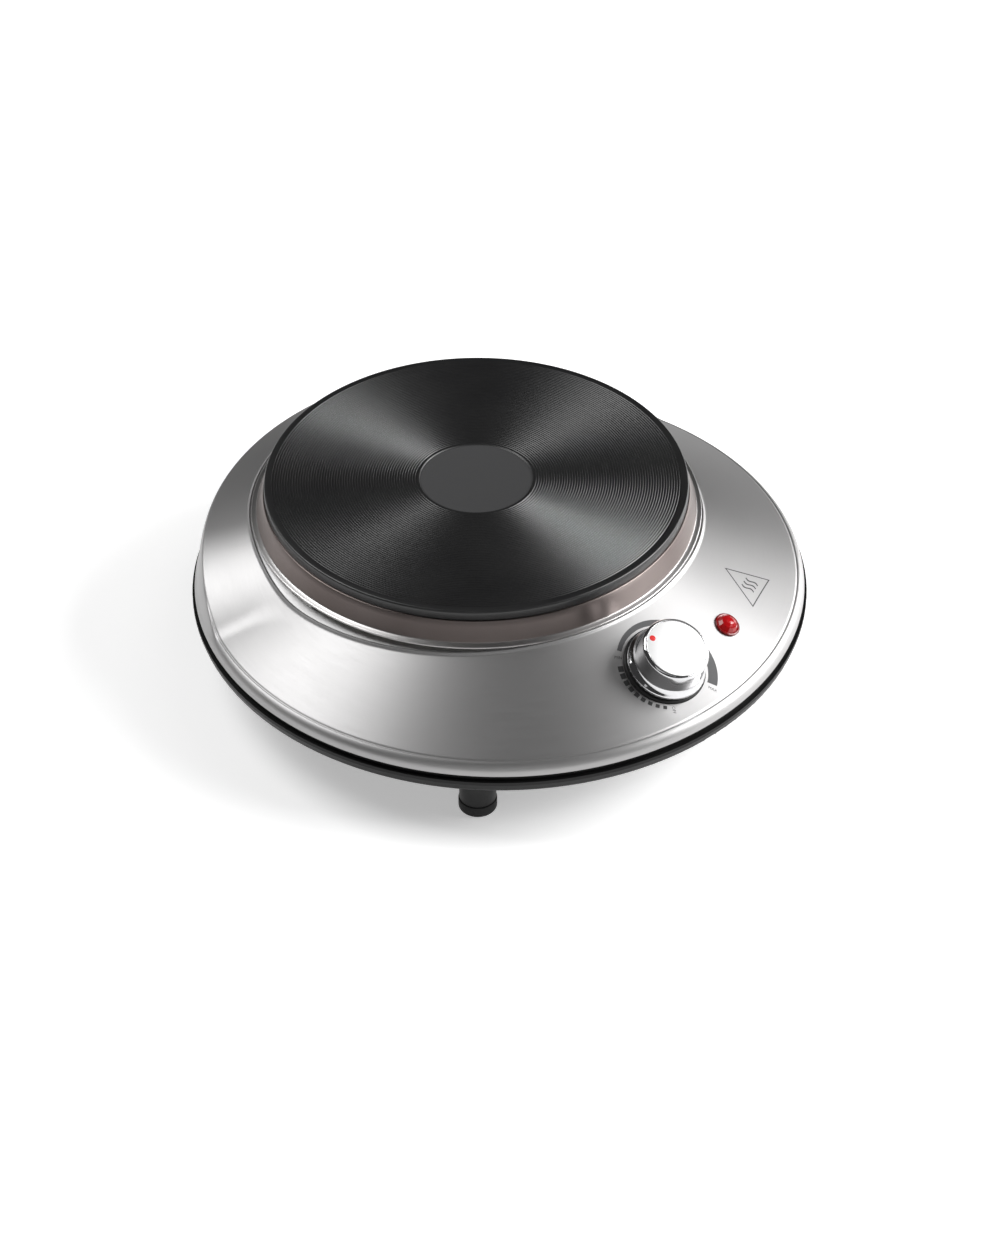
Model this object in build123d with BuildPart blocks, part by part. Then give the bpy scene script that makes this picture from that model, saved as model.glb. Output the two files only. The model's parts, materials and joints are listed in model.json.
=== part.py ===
from build123d import *
import math
import os

# Single hot plate burner, millimetres. The origin is on the table at the centre of the round
# base, +Z is up, the control knob faces -Y, and +X is on the right of someone facing the knob.

# --- Driving dimensions -------------------------------------------------------------------
PLATE_RADIUS = 92.5  # cast-iron cooking plate, the common 185 mm size
PLATE_TOP = 75.0  # height of the cooking surface
PLATE_SHIFT = 15.9  # the plate stands this far behind the middle of the base
CENTRE_DISC_RADIUS = 25.0
CENTRE_DISC_DEPTH = 0.6
PLATE_LIP = 4.4  # height of the plate's widest rim
CASTING_RADIUS = 90.3  # the casting below that rim
CASTING_BOTTOM = 60.5
WEB_BOTTOM = 67.0  # underside of the iron above the heating coils
LAND_BOTTOM = 62.0  # underside of the iron between them

SHELL_THICKNESS = 0.8
SHELL_TOP = 60.2
SHELL_FOOT = 32.6  # lower edge of the steel
SHELL_RADIUS = 134.05
SHELL_OPENING = 94.2
SHOULDER_RADIUS = 133.4
SHOULDER_ROUND = 5.0
PANEL_SLOPE = 25.6  # degrees, the sloping control panel
PANEL_RADIUS = 131.0
PANEL_HEIGHT = 37.8  # the panel's height at that radius

TIER_LEVEL = 50.0  # the raised rear tier's plan is drawn at this height
TIER_RADIUS = 104.3
TIER_CORNER = -77.0  # where its two straight flanks would meet on the centre line
TIER_FLANK = 0.96  # their slope in plan
TIER_BEND = 25.0
TIER_DRAFT = 25.0
CREST_RADIUS = 98.5  # from here the tier's roof falls away
ROOF_FALL = 20.0
WALL_RADIUS = 133.2
WALL_LEVEL = 36.0
WALL_DRAFT = 10.0

BASE_RADIUS = 135.2
BASE_BOTTOM = 24.4
BASE_FLOOR = 1.4
BASE_LEDGE = 30.2  # top of the black ring that shows
BASE_NECK = 133.4  # above it the pan steps in, in the shell's shadow
BASE_TOP = 32.3
BASE_ROUND = 2.0

FOOT_SPREAD_X = 81.0
FOOT_SPREAD_Y = 84.0
FOOT_RADIUS = 7.75
PAD_RADIUS = 8.1
PAD_HEIGHT = 6.0

KNOB_DISTANCE = 108.0  # from the base's centre to the knob's axis, along the panel's plan
KNOB_BASE_RADIUS = 17.2
KNOB_TOP_RADIUS = 14.4
KNOB_FACE = 15.6  # the knob's top above the panel
KNOB_GAP = 1.8  # from the panel up to the knob's skirt
KNOB_AT_REST = -37.0  # degrees, clockwise from straight uphill
SHAFT_RADIUS = 3.0
SHAFT_CLEARANCE = 0.05
BUSH_RADIUS = 5.0

LAMP_DISTANCE = 111.0
LAMP_TURN = 20.6  # degrees round the base from the knob
LAMP_RADIUS = 5.7
LENS_NECK = 4.6

STUD_RADIUS = 3.0
STUD_BOTTOM = 34.0
BRIDGE_LEVEL = 44.0
SHEET = 0.8

WIRE_RADIUS = 1.2

# --- Shared planes and axes ---------------------------------------------------------------
PLATE_AXIS = Axis((0, PLATE_SHIFT, 0), (0, 0, 1))
BASE_SECTION = Plane.XZ
PLATE_SECTION = Plane.XZ.offset(-PLATE_SHIFT)


def tan(degrees):
    return math.tan(math.radians(degrees))


def cos(degrees):
    return math.cos(math.radians(degrees))


def sin(degrees):
    return math.sin(math.radians(degrees))


def panel_height(radius):
    """Height of the sloping panel's outside at a distance from the base's centre."""
    return PANEL_HEIGHT + (PANEL_RADIUS - radius) * tan(PANEL_SLOPE)


def panel_plane(distance, turn):
    """Plane on the panel, turned round the base from the knob, its Y uphill and its Z out."""
    outward = (sin(turn), -cos(turn))
    origin = (distance * outward[0], distance * outward[1], panel_height(distance))
    normal = (outward[0] * sin(PANEL_SLOPE), outward[1] * sin(PANEL_SLOPE), cos(PANEL_SLOPE))
    return Plane(origin=origin, x_dir=(cos(turn), sin(turn), 0), z_dir=normal)


KNOB_PLANE = panel_plane(KNOB_DISTANCE, 0)
LAMP_PLANE = panel_plane(LAMP_DISTANCE, LAMP_TURN)


def clock(radius, degrees):
    """Point on a dial, measured clockwise from straight uphill."""
    return (radius * sin(degrees), radius * cos(degrees))


# --- Cooking plate ------------------------------------------------------------------------
COIL_RADII = (40.0, 46.0, 52.0, 68.0, 74.0, 80.0)
COIL_WIRE = 1.5
COIL_LEVEL = 64.9
CHANNELS = ((35.0, 57.5), (62.5, 85.5))
COMPOUND_BOTTOM = 62.9
EARTH_STUD = (17.0, PLATE_SHIFT + 22)
EARTH_TAG_END = (EARTH_STUD[0] + 11, EARTH_STUD[1])
TERMINAL_X = (-12.0, 0.0, 12.0)
TERMINAL_Y = PLATE_SHIFT - 40


def make_hotplate():
    """Cast-iron plate with its recessed centre and two channels for the heating coils."""
    (inner_a, outer_a), (inner_b, outer_b) = CHANNELS
    lip_bottom = PLATE_TOP - PLATE_LIP
    with BuildPart() as hotplate:
        with BuildSketch(PLATE_SECTION):
            Polygon(
                (0, LAND_BOTTOM),
                (inner_a, LAND_BOTTOM),
                (inner_a, WEB_BOTTOM),
                (outer_a, WEB_BOTTOM),
                (outer_a, LAND_BOTTOM),
                (inner_b, LAND_BOTTOM),
                (inner_b, WEB_BOTTOM),
                (outer_b, WEB_BOTTOM),
                (outer_b, CASTING_BOTTOM),
                (CASTING_RADIUS, CASTING_BOTTOM),
                (CASTING_RADIUS, lip_bottom),
                (PLATE_RADIUS, lip_bottom),
                (PLATE_RADIUS, PLATE_TOP - 1),
                (PLATE_RADIUS - 1.6, PLATE_TOP),
                (CENTRE_DISC_RADIUS, PLATE_TOP),
                (CENTRE_DISC_RADIUS - 0.4, PLATE_TOP - CENTRE_DISC_DEPTH),
                (0, PLATE_TOP - CENTRE_DISC_DEPTH),
                align=None,
            )
        revolve(axis=PLATE_AXIS)
        with BuildSketch(Plane.XY.offset(LAND_BOTTOM)):
            with Locations((0, PLATE_SHIFT)):
                Circle(STUD_RADIUS)
            with Locations(EARTH_STUD):
                Circle(2.0)
        extrude(amount=7, mode=Mode.SUBTRACT)
    return hotplate.part


def make_heating_coils():
    """Resistance coils, laid in rings and joined inside the plate."""
    with BuildPart() as coils:
        with Locations((0, PLATE_SHIFT, COIL_LEVEL)):
            for radius in COIL_RADII:
                Torus(radius, COIL_WIRE)
    return coils.part


def make_insulation():
    """Pressed magnesia that fills both channels and holds the coils off the iron."""
    with BuildPart() as filling:
        for inner, outer in CHANNELS:
            with BuildSketch(Plane.XY.offset(COMPOUND_BOTTOM)):
                with Locations((0, PLATE_SHIFT)):
                    Circle(outer)
                    Circle(inner, mode=Mode.SUBTRACT)
            extrude(amount=WEB_BOTTOM - COMPOUND_BOTTOM)
        with Locations((0, PLATE_SHIFT, COIL_LEVEL)):
            for radius in COIL_RADII:
                Torus(radius, COIL_WIRE, mode=Mode.SUBTRACT)
    return filling.part


def make_plate_cover():
    """Thin steel disc that closes the channels, with holes for the studs and the coil ends."""
    with BuildPart() as cover:
        with BuildSketch(Plane.XY.offset(LAND_BOTTOM - SHEET)):
            with Locations((0, PLATE_SHIFT)):
                Circle(CHANNELS[1][1] - 0.3)
                Circle(STUD_RADIUS + 0.6, mode=Mode.SUBTRACT)
            with Locations(EARTH_STUD):
                Circle(2.6, mode=Mode.SUBTRACT)
            with Locations(*[(x, TERMINAL_Y) for x in TERMINAL_X]):
                Circle(3.2, mode=Mode.SUBTRACT)
        extrude(amount=SHEET)
    return cover.part


# --- Terminals on the plate ---------------------------------------------------------------
BLOCK_TOP = LAND_BOTTOM - SHEET
BLOCK_HEIGHT = 7.0


def make_plate_terminal_block():
    """Steatite block that carries the ends of the heating coils out through the cover."""
    with BuildPart() as block:
        with BuildSketch(Plane.XY.offset(BLOCK_TOP - BLOCK_HEIGHT)):
            with Locations((0, TERMINAL_Y)):
                RectangleRounded(36, 12, 3)
            with Locations(*[(x, TERMINAL_Y) for x in TERMINAL_X]):
                Circle(1.3, mode=Mode.SUBTRACT)
        extrude(amount=BLOCK_HEIGHT)
    return block.part


def make_plate_terminals():
    """Pins that come down from the coils through the block."""
    with BuildPart() as pins:
        with BuildSketch(Plane.XY.offset(BLOCK_TOP - BLOCK_HEIGHT - 5)):
            with Locations(*[(x, TERMINAL_Y) for x in TERMINAL_X]):
                Circle(1.2)
        extrude(amount=BLOCK_HEIGHT + 5 + 1.5)
    return pins.part


# --- Spill ring, clamp and heat shield ----------------------------------------------------
RING_WALL = 0.6
RING_HEM_RADIUS = 98.6
RING_HEM_HEIGHT = 0.9
GASKET_HEIGHT = 0.4


def make_spill_ring():
    """Stainless collar: a lip under the plate's rim, a flared wall and a hemmed foot."""
    lip_top = PLATE_TOP - PLATE_LIP - 0.05
    hem_top = SHELL_TOP + RING_HEM_HEIGHT
    foot_bottom = SHELL_TOP + GASKET_HEIGHT
    with BuildPart() as ring:
        with BuildSketch(PLATE_SECTION):
            Polygon(
                (CASTING_RADIUS + 0.1, lip_top),
                (PLATE_RADIUS + 0.5, lip_top),
                (96.5, hem_top),
                (RING_HEM_RADIUS - 0.3, hem_top),
                (RING_HEM_RADIUS, hem_top - 0.3),
                (RING_HEM_RADIUS, SHELL_TOP + 0.05),
                (97.4, SHELL_TOP + 0.05),
                (97.2, foot_bottom),
                (95.6, foot_bottom),
                (PLATE_RADIUS - 0.2, lip_top - RING_WALL),
                (CASTING_RADIUS + 0.1, lip_top - RING_WALL),
                align=None,
            )
        revolve(axis=PLATE_AXIS)
    return ring.part


def make_ring_gasket():
    """Flat fibre gasket between the spill ring's foot and the shell."""
    with BuildPart() as gasket:
        with BuildSketch(Plane.XY.offset(SHELL_TOP)):
            with Locations((0, PLATE_SHIFT)):
                Circle(97.0)
                Circle(SHELL_OPENING, mode=Mode.SUBTRACT)
        extrude(amount=GASKET_HEIGHT)
    return gasket.part


def make_centre_stud():
    """M6 stud screwed up into the middle of the casting."""
    with BuildPart() as stud:
        with BuildSketch(Plane.XY.offset(STUD_BOTTOM)):
            with Locations((0, PLATE_SHIFT)):
                Circle(STUD_RADIUS)
        extrude(amount=LAND_BOTTOM + 6 - STUD_BOTTOM)
    return stud.part


def make_clamp_bridge():
    """Pressed strap whose ends bear up under the shell and pull the plate down on it."""
    width = 18.0
    end_top = SHELL_TOP - SHELL_THICKNESS / cos(ROOF_FALL)
    thick = 1.6
    reach = 97.0
    with BuildPart() as bridge:
        with BuildSketch(PLATE_SECTION.offset(-width / 2)):
            Polygon(
                (-reach, end_top),
                (-reach, end_top - thick),
                (-88, end_top - thick),
                (-80, BRIDGE_LEVEL - thick),
                (80, BRIDGE_LEVEL - thick),
                (88, end_top - thick),
                (reach, end_top - thick),
                (reach, end_top),
                (87, end_top),
                (79, BRIDGE_LEVEL),
                (-79, BRIDGE_LEVEL),
                (-87, end_top),
                align=None,
            )
        extrude(amount=width)
        with BuildSketch(Plane.XY.offset(BRIDGE_LEVEL - thick)):
            with Locations((0, PLATE_SHIFT)):
                Circle(STUD_RADIUS + 0.3)
        extrude(amount=thick, mode=Mode.SUBTRACT)
    return bridge.part


def make_heat_shield():
    """Bright dish that throws the plate's heat back up, with cut-outs for the terminals."""
    level = BRIDGE_LEVEL + 0.2
    with BuildPart() as shield:
        with BuildSketch(PLATE_SECTION):
            Polygon(
                (STUD_RADIUS + 0.4, level),
                (62, level),
                (74, level + 9),
                (77, level + 9),
                (77, level + 9 + SHEET),
                (73.5, level + 9 + SHEET),
                (61.5, level + SHEET),
                (STUD_RADIUS + 0.4, level + SHEET),
                align=None,
            )
        revolve(axis=PLATE_AXIS)
        with BuildSketch(Plane.XY.offset(level)):
            with Locations((0, TERMINAL_Y)):
                RectangleRounded(40, 16, 4)
            with Locations(EARTH_TAG_END):
                Circle(5)
        extrude(amount=SHEET, mode=Mode.SUBTRACT)
    return shield.part


def make_stud_washer():
    """Plain washer between the bridge and the nut."""
    with BuildPart() as washer:
        with BuildSketch(Plane.XY.offset(BRIDGE_LEVEL - 1.6 - 1.2)):
            with Locations((0, PLATE_SHIFT)):
                Circle(8)
                Circle(STUD_RADIUS + 0.2, mode=Mode.SUBTRACT)
        extrude(amount=1.2)
    return washer.part


def make_stud_nut():
    """M6 hexagon nut that clamps plate, ring, shell and bridge together."""
    with BuildPart() as nut:
        with BuildSketch(Plane.XY.offset(BRIDGE_LEVEL - 2.8 - 5)):
            with Locations((0, PLATE_SHIFT)):
                RegularPolygon(5.77, 6)
                Circle(STUD_RADIUS, mode=Mode.SUBTRACT)
        extrude(amount=5)
    return nut.part


# --- Pressed steel shell ------------------------------------------------------------------
SCREW_DISTANCE = 124.5
BRACKET_TOP = 35.0


def make_dome(inset):
    """Solid lower body, a shallow cone with a rounded shoulder, faces moved in by the inset."""
    foot = SHELL_FOOT - inset
    top = SHELL_TOP - inset
    drop = inset / cos(PANEL_SLOPE)
    shoulder = SHOULDER_RADIUS - inset
    rise = (top + drop - PANEL_HEIGHT) / tan(PANEL_SLOPE)
    with BuildPart() as dome:
        with BuildSketch(BASE_SECTION) as section:
            Polygon(
                (0, foot),
                (SHELL_RADIUS - inset, foot),
                (shoulder, panel_height(shoulder) - drop),
                (PANEL_RADIUS - rise, top),
                (0, top),
                align=None,
            )
            fillet(section.vertices().sort_by(Axis.X)[-2], SHOULDER_ROUND - inset)
        revolve(axis=Axis.Z)
    return dome.part


def make_tier(inset):
    """Solid raised tier: round the plate in front, spreading to the rim behind it."""
    foot = SHELL_FOOT - inset
    roof = SHELL_TOP - inset / cos(ROOF_FALL)
    far = 2 * BASE_RADIUS
    spread = (TIER_LEVEL - foot) * tan(TIER_DRAFT) - inset / cos(TIER_DRAFT)
    wall_foot = WALL_RADIUS + (WALL_LEVEL - foot) * tan(WALL_DRAFT) - inset / cos(WALL_DRAFT)
    wall_top = wall_foot - (PLATE_TOP - foot) * tan(WALL_DRAFT)
    with BuildPart() as tier:
        with BuildSketch(Plane.XY.offset(foot)) as plan:
            with Locations((0, PLATE_SHIFT)):
                Circle(TIER_RADIUS)
            Polygon(
                (0, TIER_CORNER),
                (far, TIER_CORNER + TIER_FLANK * far),
                (0, 2 * far),
                (-far, TIER_CORNER + TIER_FLANK * far),
                align=None,
            )
            corners = plan.vertices().filter_by_position(Axis.Y, 5, 45).sort_by(Axis.X)
            fillet([corners[0], corners[-1]], TIER_BEND)
            offset(amount=spread)
        extrude(amount=PLATE_TOP - foot, taper=TIER_DRAFT)
        with BuildSketch(PLATE_SECTION):
            Polygon(
                (0, foot),
                (far, foot),
                (far, roof - (far - CREST_RADIUS) * tan(ROOF_FALL)),
                (CREST_RADIUS, roof),
                (0, roof),
                align=None,
            )
        revolve(axis=PLATE_AXIS, mode=Mode.INTERSECT)
        with BuildSketch(BASE_SECTION):
            Polygon((0, foot), (wall_foot, foot), (wall_top, PLATE_TOP), (0, PLATE_TOP), align=None)
        revolve(axis=Axis.Z, mode=Mode.INTERSECT)
    return tier.part


def make_top_shell():
    """One deep-drawn stainless pressing, with its plate opening and panel holes."""
    with BuildPart() as shell:
        add(make_dome(0))
        add(make_tier(0))
        add(make_dome(SHELL_THICKNESS), mode=Mode.SUBTRACT)
        add(make_tier(SHELL_THICKNESS), mode=Mode.SUBTRACT)
        with BuildSketch(Plane.XY.offset(SHELL_TOP - 5)):
            with Locations((0, PLATE_SHIFT)):
                Circle(SHELL_OPENING)
        extrude(amount=10, mode=Mode.SUBTRACT)
        with BuildSketch(KNOB_PLANE.offset(-5)):
            Circle(BUSH_RADIUS + 0.1)
        extrude(amount=10, mode=Mode.SUBTRACT)
        with BuildSketch(LAMP_PLANE.offset(-5)):
            Circle(LENS_NECK + 0.15)
        extrude(amount=10, mode=Mode.SUBTRACT)
    return shell.part


def make_shell_brackets():
    """Four folded tabs spot-welded inside the shell, tapped for the base screws."""
    floor = BASE_BOTTOM + BASE_FLOOR
    with BuildPart() as brackets:
        with BuildSketch(Plane.XY.offset(floor)):
            with PolarLocations(SCREW_DISTANCE, 4):
                RectangleRounded(9, 12, 1.5)
                Circle(1.5, mode=Mode.SUBTRACT)
        extrude(amount=1.5)
        with BuildSketch(Plane.XY.offset(floor + 1.5)):
            with PolarLocations(SCREW_DISTANCE + 3.9, 4):
                Rectangle(1.2, 11)
        extrude(amount=BRACKET_TOP - floor - 1.5)
    return brackets.part


# --- Base pan -----------------------------------------------------------------------------
UPSTAND_OUTER = 132.2
UPSTAND_INNER = 130.9
UPSTAND_TOP = 34.6
VENT_RINGS = ((38.0, 12), (58.0, 20), (78.0, 24))
GLAND_POSITION = (0.0, 112.0)
GLAND_BORE = 3.7
GLAND_NECK = 6.0
FEET = tuple((x, y) for x in (-FOOT_SPREAD_X, FOOT_SPREAD_X) for y in (-FOOT_SPREAD_Y, FOOT_SPREAD_Y))


def make_base_pan():
    """Black drawn pan: the visible ring, the floor with its vents, and the locating upstand."""
    with BuildPart() as pan:
        with BuildSketch(BASE_SECTION) as section:
            Polygon(
                (0, BASE_BOTTOM),
                (BASE_RADIUS - 1.2, BASE_BOTTOM),
                (BASE_RADIUS, BASE_LEDGE - 1.6),
                (BASE_RADIUS, BASE_LEDGE),
                (BASE_NECK, BASE_LEDGE),
                (BASE_NECK, BASE_TOP),
                (UPSTAND_OUTER, BASE_TOP),
                (UPSTAND_OUTER, UPSTAND_TOP),
                (UPSTAND_INNER, UPSTAND_TOP),
                (UPSTAND_INNER, BASE_BOTTOM + BASE_FLOOR),
                (0, BASE_BOTTOM + BASE_FLOOR),
                align=None,
            )
            lower_corner = section.vertices().group_by(Axis.Y)[0].sort_by(Axis.X)[-1]
            fillet(lower_corner, BASE_ROUND)
        revolve(axis=Axis.Z)
        with BuildSketch(Plane.XY.offset(BASE_BOTTOM)):
            for radius, count in VENT_RINGS:
                with PolarLocations(radius, count):
                    SlotOverall(12, 3.2)
            with PolarLocations(SCREW_DISTANCE, 4):
                Circle(1.8)
            with Locations(*FEET):
                Circle(2.2)
            with Locations(GLAND_POSITION):
                Circle(GLAND_NECK + 0.1)
        extrude(amount=BASE_FLOOR, mode=Mode.SUBTRACT)
    return pan.part


def make_foot_legs():
    """Four turned plastic legs, in the order of the FEET list."""
    legs = []
    for x, y in FEET:
        with BuildPart() as leg:
            with BuildSketch(Plane.XY.offset(PAD_HEIGHT)):
                with Locations((x, y)):
                    Circle(FOOT_RADIUS)
            extrude(amount=BASE_BOTTOM - PAD_HEIGHT)
            with BuildSketch(Plane.XY.offset(BASE_BOTTOM - 3)):
                with Locations((x, y)):
                    Circle(FOOT_RADIUS + 2.4)
            extrude(amount=3)
            with BuildSketch(Plane.XY.offset(PAD_HEIGHT)):
                with Locations((x, y)):
                    Circle(3.5)
            extrude(amount=2.5, mode=Mode.SUBTRACT)
            with BuildSketch(Plane.XY.offset(BASE_BOTTOM - 12)):
                with Locations((x, y)):
                    Circle(1.8)
            extrude(amount=12, mode=Mode.SUBTRACT)
        legs.append(leg.part)
    return legs


def make_foot_pads():
    """Four rubber caps under the legs, each with a plug that presses up into its leg."""
    pads = []
    for x, y in FEET:
        with BuildPart() as pad:
            with BuildSketch():
                with Locations((x, y)):
                    Circle(PAD_RADIUS)
            extrude(amount=PAD_HEIGHT)
            fillet(pad.edges().group_by(Axis.Z)[0], 1.5)
            with BuildSketch(Plane.XY.offset(PAD_HEIGHT)):
                with Locations((x, y)):
                    Circle(3.4)
            extrude(amount=2.3)
        pads.append(pad.part)
    return pads


def make_foot_screws():
    """Pan-head screws from inside the pan down into the legs."""
    floor = BASE_BOTTOM + BASE_FLOOR
    with BuildPart() as screws:
        with BuildSketch(Plane.XY.offset(BASE_BOTTOM - 11)):
            with Locations(*FEET):
                Circle(1.75)
        extrude(amount=11 + BASE_FLOOR)
        with BuildSketch(Plane.XY.offset(floor)):
            with Locations(*FEET):
                Circle(3.4)
        extrude(amount=2.2)
        with BuildSketch(Plane.XY.offset(floor + 1.2)):
            with Locations(*FEET):
                Rectangle(4, 0.8)
                Rectangle(0.8, 4)
        extrude(amount=1, mode=Mode.SUBTRACT)
    return screws.part


def make_base_screws():
    """Screws from below that hold the base pan to the shell's brackets."""
    with BuildPart() as screws:
        with BuildSketch(Plane.XY.offset(BASE_BOTTOM - 2)):
            with PolarLocations(SCREW_DISTANCE, 4):
                Circle(3.2)
        extrude(amount=2)
        with BuildSketch(Plane.XY.offset(BASE_BOTTOM)):
            with PolarLocations(SCREW_DISTANCE, 4):
                Circle(1.45)
        extrude(amount=BASE_FLOOR + 3)
        with BuildSketch(Plane.XY.offset(BASE_BOTTOM - 2)):
            with PolarLocations(SCREW_DISTANCE, 4):
                Rectangle(4, 0.8)
                Rectangle(0.8, 4)
        extrude(amount=1, mode=Mode.SUBTRACT)
    return screws.part


# --- Knob and dial ------------------------------------------------------------------------
BUSH_TOP = 3.4
NUT_HEIGHT = 2.4
SHAFT_FLAT = 1.5
DOT_DISTANCE = 10.8
DOT_RADIUS = 1.35


def on_knob(part):
    """Carries a part made about the Z axis to the knob's place, pointer at its rest angle."""
    return KNOB_PLANE.location * Rot(0, 0, -KNOB_AT_REST) * part


def make_knob_body():
    """Chromed knob: a flared skirt, a waisted grip, a hollow underneath and a D bore."""
    hollow_top = 6.0
    with BuildPart() as knob:
        with BuildSketch(Plane.XZ):
            Polygon(
                (10.9, KNOB_GAP),
                (KNOB_BASE_RADIUS, KNOB_GAP),
                (KNOB_BASE_RADIUS, KNOB_GAP + 1.4),
                (KNOB_TOP_RADIUS + 0.6, KNOB_GAP + 3.6),
                (KNOB_TOP_RADIUS, KNOB_FACE - 1),
                (KNOB_TOP_RADIUS - 0.9, KNOB_FACE),
                (0, KNOB_FACE),
                (0, hollow_top),
                (10.9, hollow_top),
                align=None,
            )
        revolve(axis=Axis.Z)
        with BuildSketch(Plane.XY.offset(KNOB_FACE - 1)):
            Circle(KNOB_TOP_RADIUS - 1.5)
        extrude(amount=1, mode=Mode.SUBTRACT)
        with BuildSketch(Plane.XY.offset(hollow_top)):
            Circle(SHAFT_RADIUS)
            with Locations((0, -SHAFT_RADIUS)):
                Rectangle(2 * SHAFT_RADIUS, 2 * SHAFT_FLAT, mode=Mode.SUBTRACT)
        extrude(amount=KNOB_FACE - 2.2 - hollow_top, mode=Mode.SUBTRACT)
    return on_knob(knob.part)


def make_knob_cap():
    """Polished disc pressed into the knob's top, pierced for the pointer dot."""
    with BuildPart() as cap:
        with BuildSketch(Plane.XY.offset(KNOB_FACE - 1)):
            Circle(KNOB_TOP_RADIUS - 1.55)
            with Locations((0, DOT_DISTANCE)):
                Circle(DOT_RADIUS, mode=Mode.SUBTRACT)
        extrude(amount=0.9)
    return on_knob(cap.part)


def make_knob_dot():
    """Red enamel dot that points at the scale."""
    with BuildPart() as dot:
        with BuildSketch(Plane.XY.offset(KNOB_FACE - 1)):
            with Locations((0, DOT_DISTANCE)):
                Circle(DOT_RADIUS)
        extrude(amount=0.95)
    return on_knob(dot.part)


def make_control_shaft():
    """Steel spindle, flatted where the knob fits, that turns in the thermostat's bush."""
    with BuildPart() as shaft:
        with BuildSketch(Plane.XY.offset(SHAFT_END)):
            Circle(SHAFT_RADIUS)
        extrude(amount=KNOB_FACE - 2.4 - SHAFT_END)
        with BuildSketch(Plane.XY.offset(BUSH_TOP + 0.4)):
            with Locations((0, -SHAFT_RADIUS)):
                Rectangle(2 * SHAFT_RADIUS, 2 * SHAFT_FLAT)
        extrude(amount=KNOB_FACE, mode=Mode.SUBTRACT)
    return on_knob(shaft.part)


def make_dial_bezel():
    """Black ring under the knob, its foot cut to the panel's curve."""
    with BuildPart() as bezel:
        with BuildSketch(KNOB_PLANE.offset(-1.5)):
            Circle(KNOB_BASE_RADIUS + 0.85)
            Circle(11.5, mode=Mode.SUBTRACT)
        extrude(amount=1.5 + 1.2)
        add(make_dome(0), mode=Mode.SUBTRACT)
    return bezel.part


# --- Thermostat ---------------------------------------------------------------------------
# Depths are measured from the panel's outside down the knob's axis, and the blades run
# across the panel to the left of the shaft.
FRAME_TOP = -4.2
FRAME_THICKNESS = 1.2
FRAME_BOTTOM = FRAME_TOP - FRAME_THICKNESS
STACK_X = -32.0
STACK_RADIUS = 5.5
RIVET_RADIUS = 1.5
RIVET_HEAD = 0.6
ARM_TOP = -11.0
ARM_THICKNESS = 0.5
ARM_HINGE = -25.6
HINGE_GAP = 0.6
ROOT_END = ARM_HINGE - HINGE_GAP
TAB_END = STACK_X - 15
ARM_TIP = 4.0
ARM_WIDTH = 7.0
FIXED_TOP = -14.0
BLADE_TOP = -16.4
BLADE_THICKNESS = 1.0
PIN_TOP = -6.9
PIN_BOTTOM = ARM_TOP + 0.3
GUIDE_BOTTOM = -10.0
SHAFT_END = -6.2
PIN_RADIUS = 2.0
CONTACT_X = -12.0
CONTACT_RADIUS = 2.0


def across(depth):
    """Plane across the knob's axis at a depth below the panel."""
    return KNOB_PLANE.offset(depth)


def make_thermostat_bush():
    """Threaded brass bush: it passes through the panel and guides the shaft."""
    with BuildPart() as bush:
        with BuildSketch(across(FRAME_BOTTOM - 0.7)):
            Circle(BUSH_RADIUS)
            Circle(SHAFT_RADIUS + SHAFT_CLEARANCE, mode=Mode.SUBTRACT)
        extrude(amount=BUSH_TOP - FRAME_BOTTOM + 0.7)
        with BuildSketch(across(FRAME_TOP)):
            Circle(8)
            Circle(BUSH_RADIUS, mode=Mode.SUBTRACT)
        extrude(amount=0.7)
    return bush.part


def make_thermostat_nut():
    """Thin hexagon nut on top of the panel, hidden in the knob's hollow."""
    with BuildPart() as nut:
        with BuildSketch(across(0.05)):
            RegularPolygon(8.0, 6)
            Circle(BUSH_RADIUS, mode=Mode.SUBTRACT)
        extrude(amount=NUT_HEIGHT)
    return nut.part


def make_thermostat_frame():
    """Steel strap that ties the bush to the blade stack."""
    with BuildPart() as strap:
        with BuildSketch(across(FRAME_BOTTOM)):
            with Locations(((STACK_X + 9) / 2 - 3, 0)):
                RectangleRounded(9 - STACK_X + 6, 14, 3)
            Circle(BUSH_RADIUS, mode=Mode.SUBTRACT)
            with Locations((STACK_X, 0)):
                Circle(RIVET_RADIUS + 0.05, mode=Mode.SUBTRACT)
        extrude(amount=FRAME_THICKNESS)
    return strap.part


def make_pin_guide():
    """Small steatite sleeve under the strap that keeps the setting pin in line."""
    with BuildPart() as guide:
        with BuildSketch(across(GUIDE_BOTTOM)):
            Circle(5.5)
            Circle(PIN_RADIUS + SHAFT_CLEARANCE, mode=Mode.SUBTRACT)
        extrude(amount=FRAME_BOTTOM - GUIDE_BOTTOM)
        with BuildSketch(across(SHAFT_END - 0.4)):
            Circle(BUSH_RADIUS + 0.1)
        extrude(amount=FRAME_BOTTOM - SHAFT_END + 0.4, mode=Mode.SUBTRACT)
    return guide.part


def make_setting_pin():
    """Ceramic pin between the shaft's end and the contact arm."""
    with BuildPart() as pin:
        with BuildSketch(across(PIN_BOTTOM)):
            Circle(PIN_RADIUS)
        extrude(amount=PIN_TOP - PIN_BOTTOM)
    return pin.part


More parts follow.
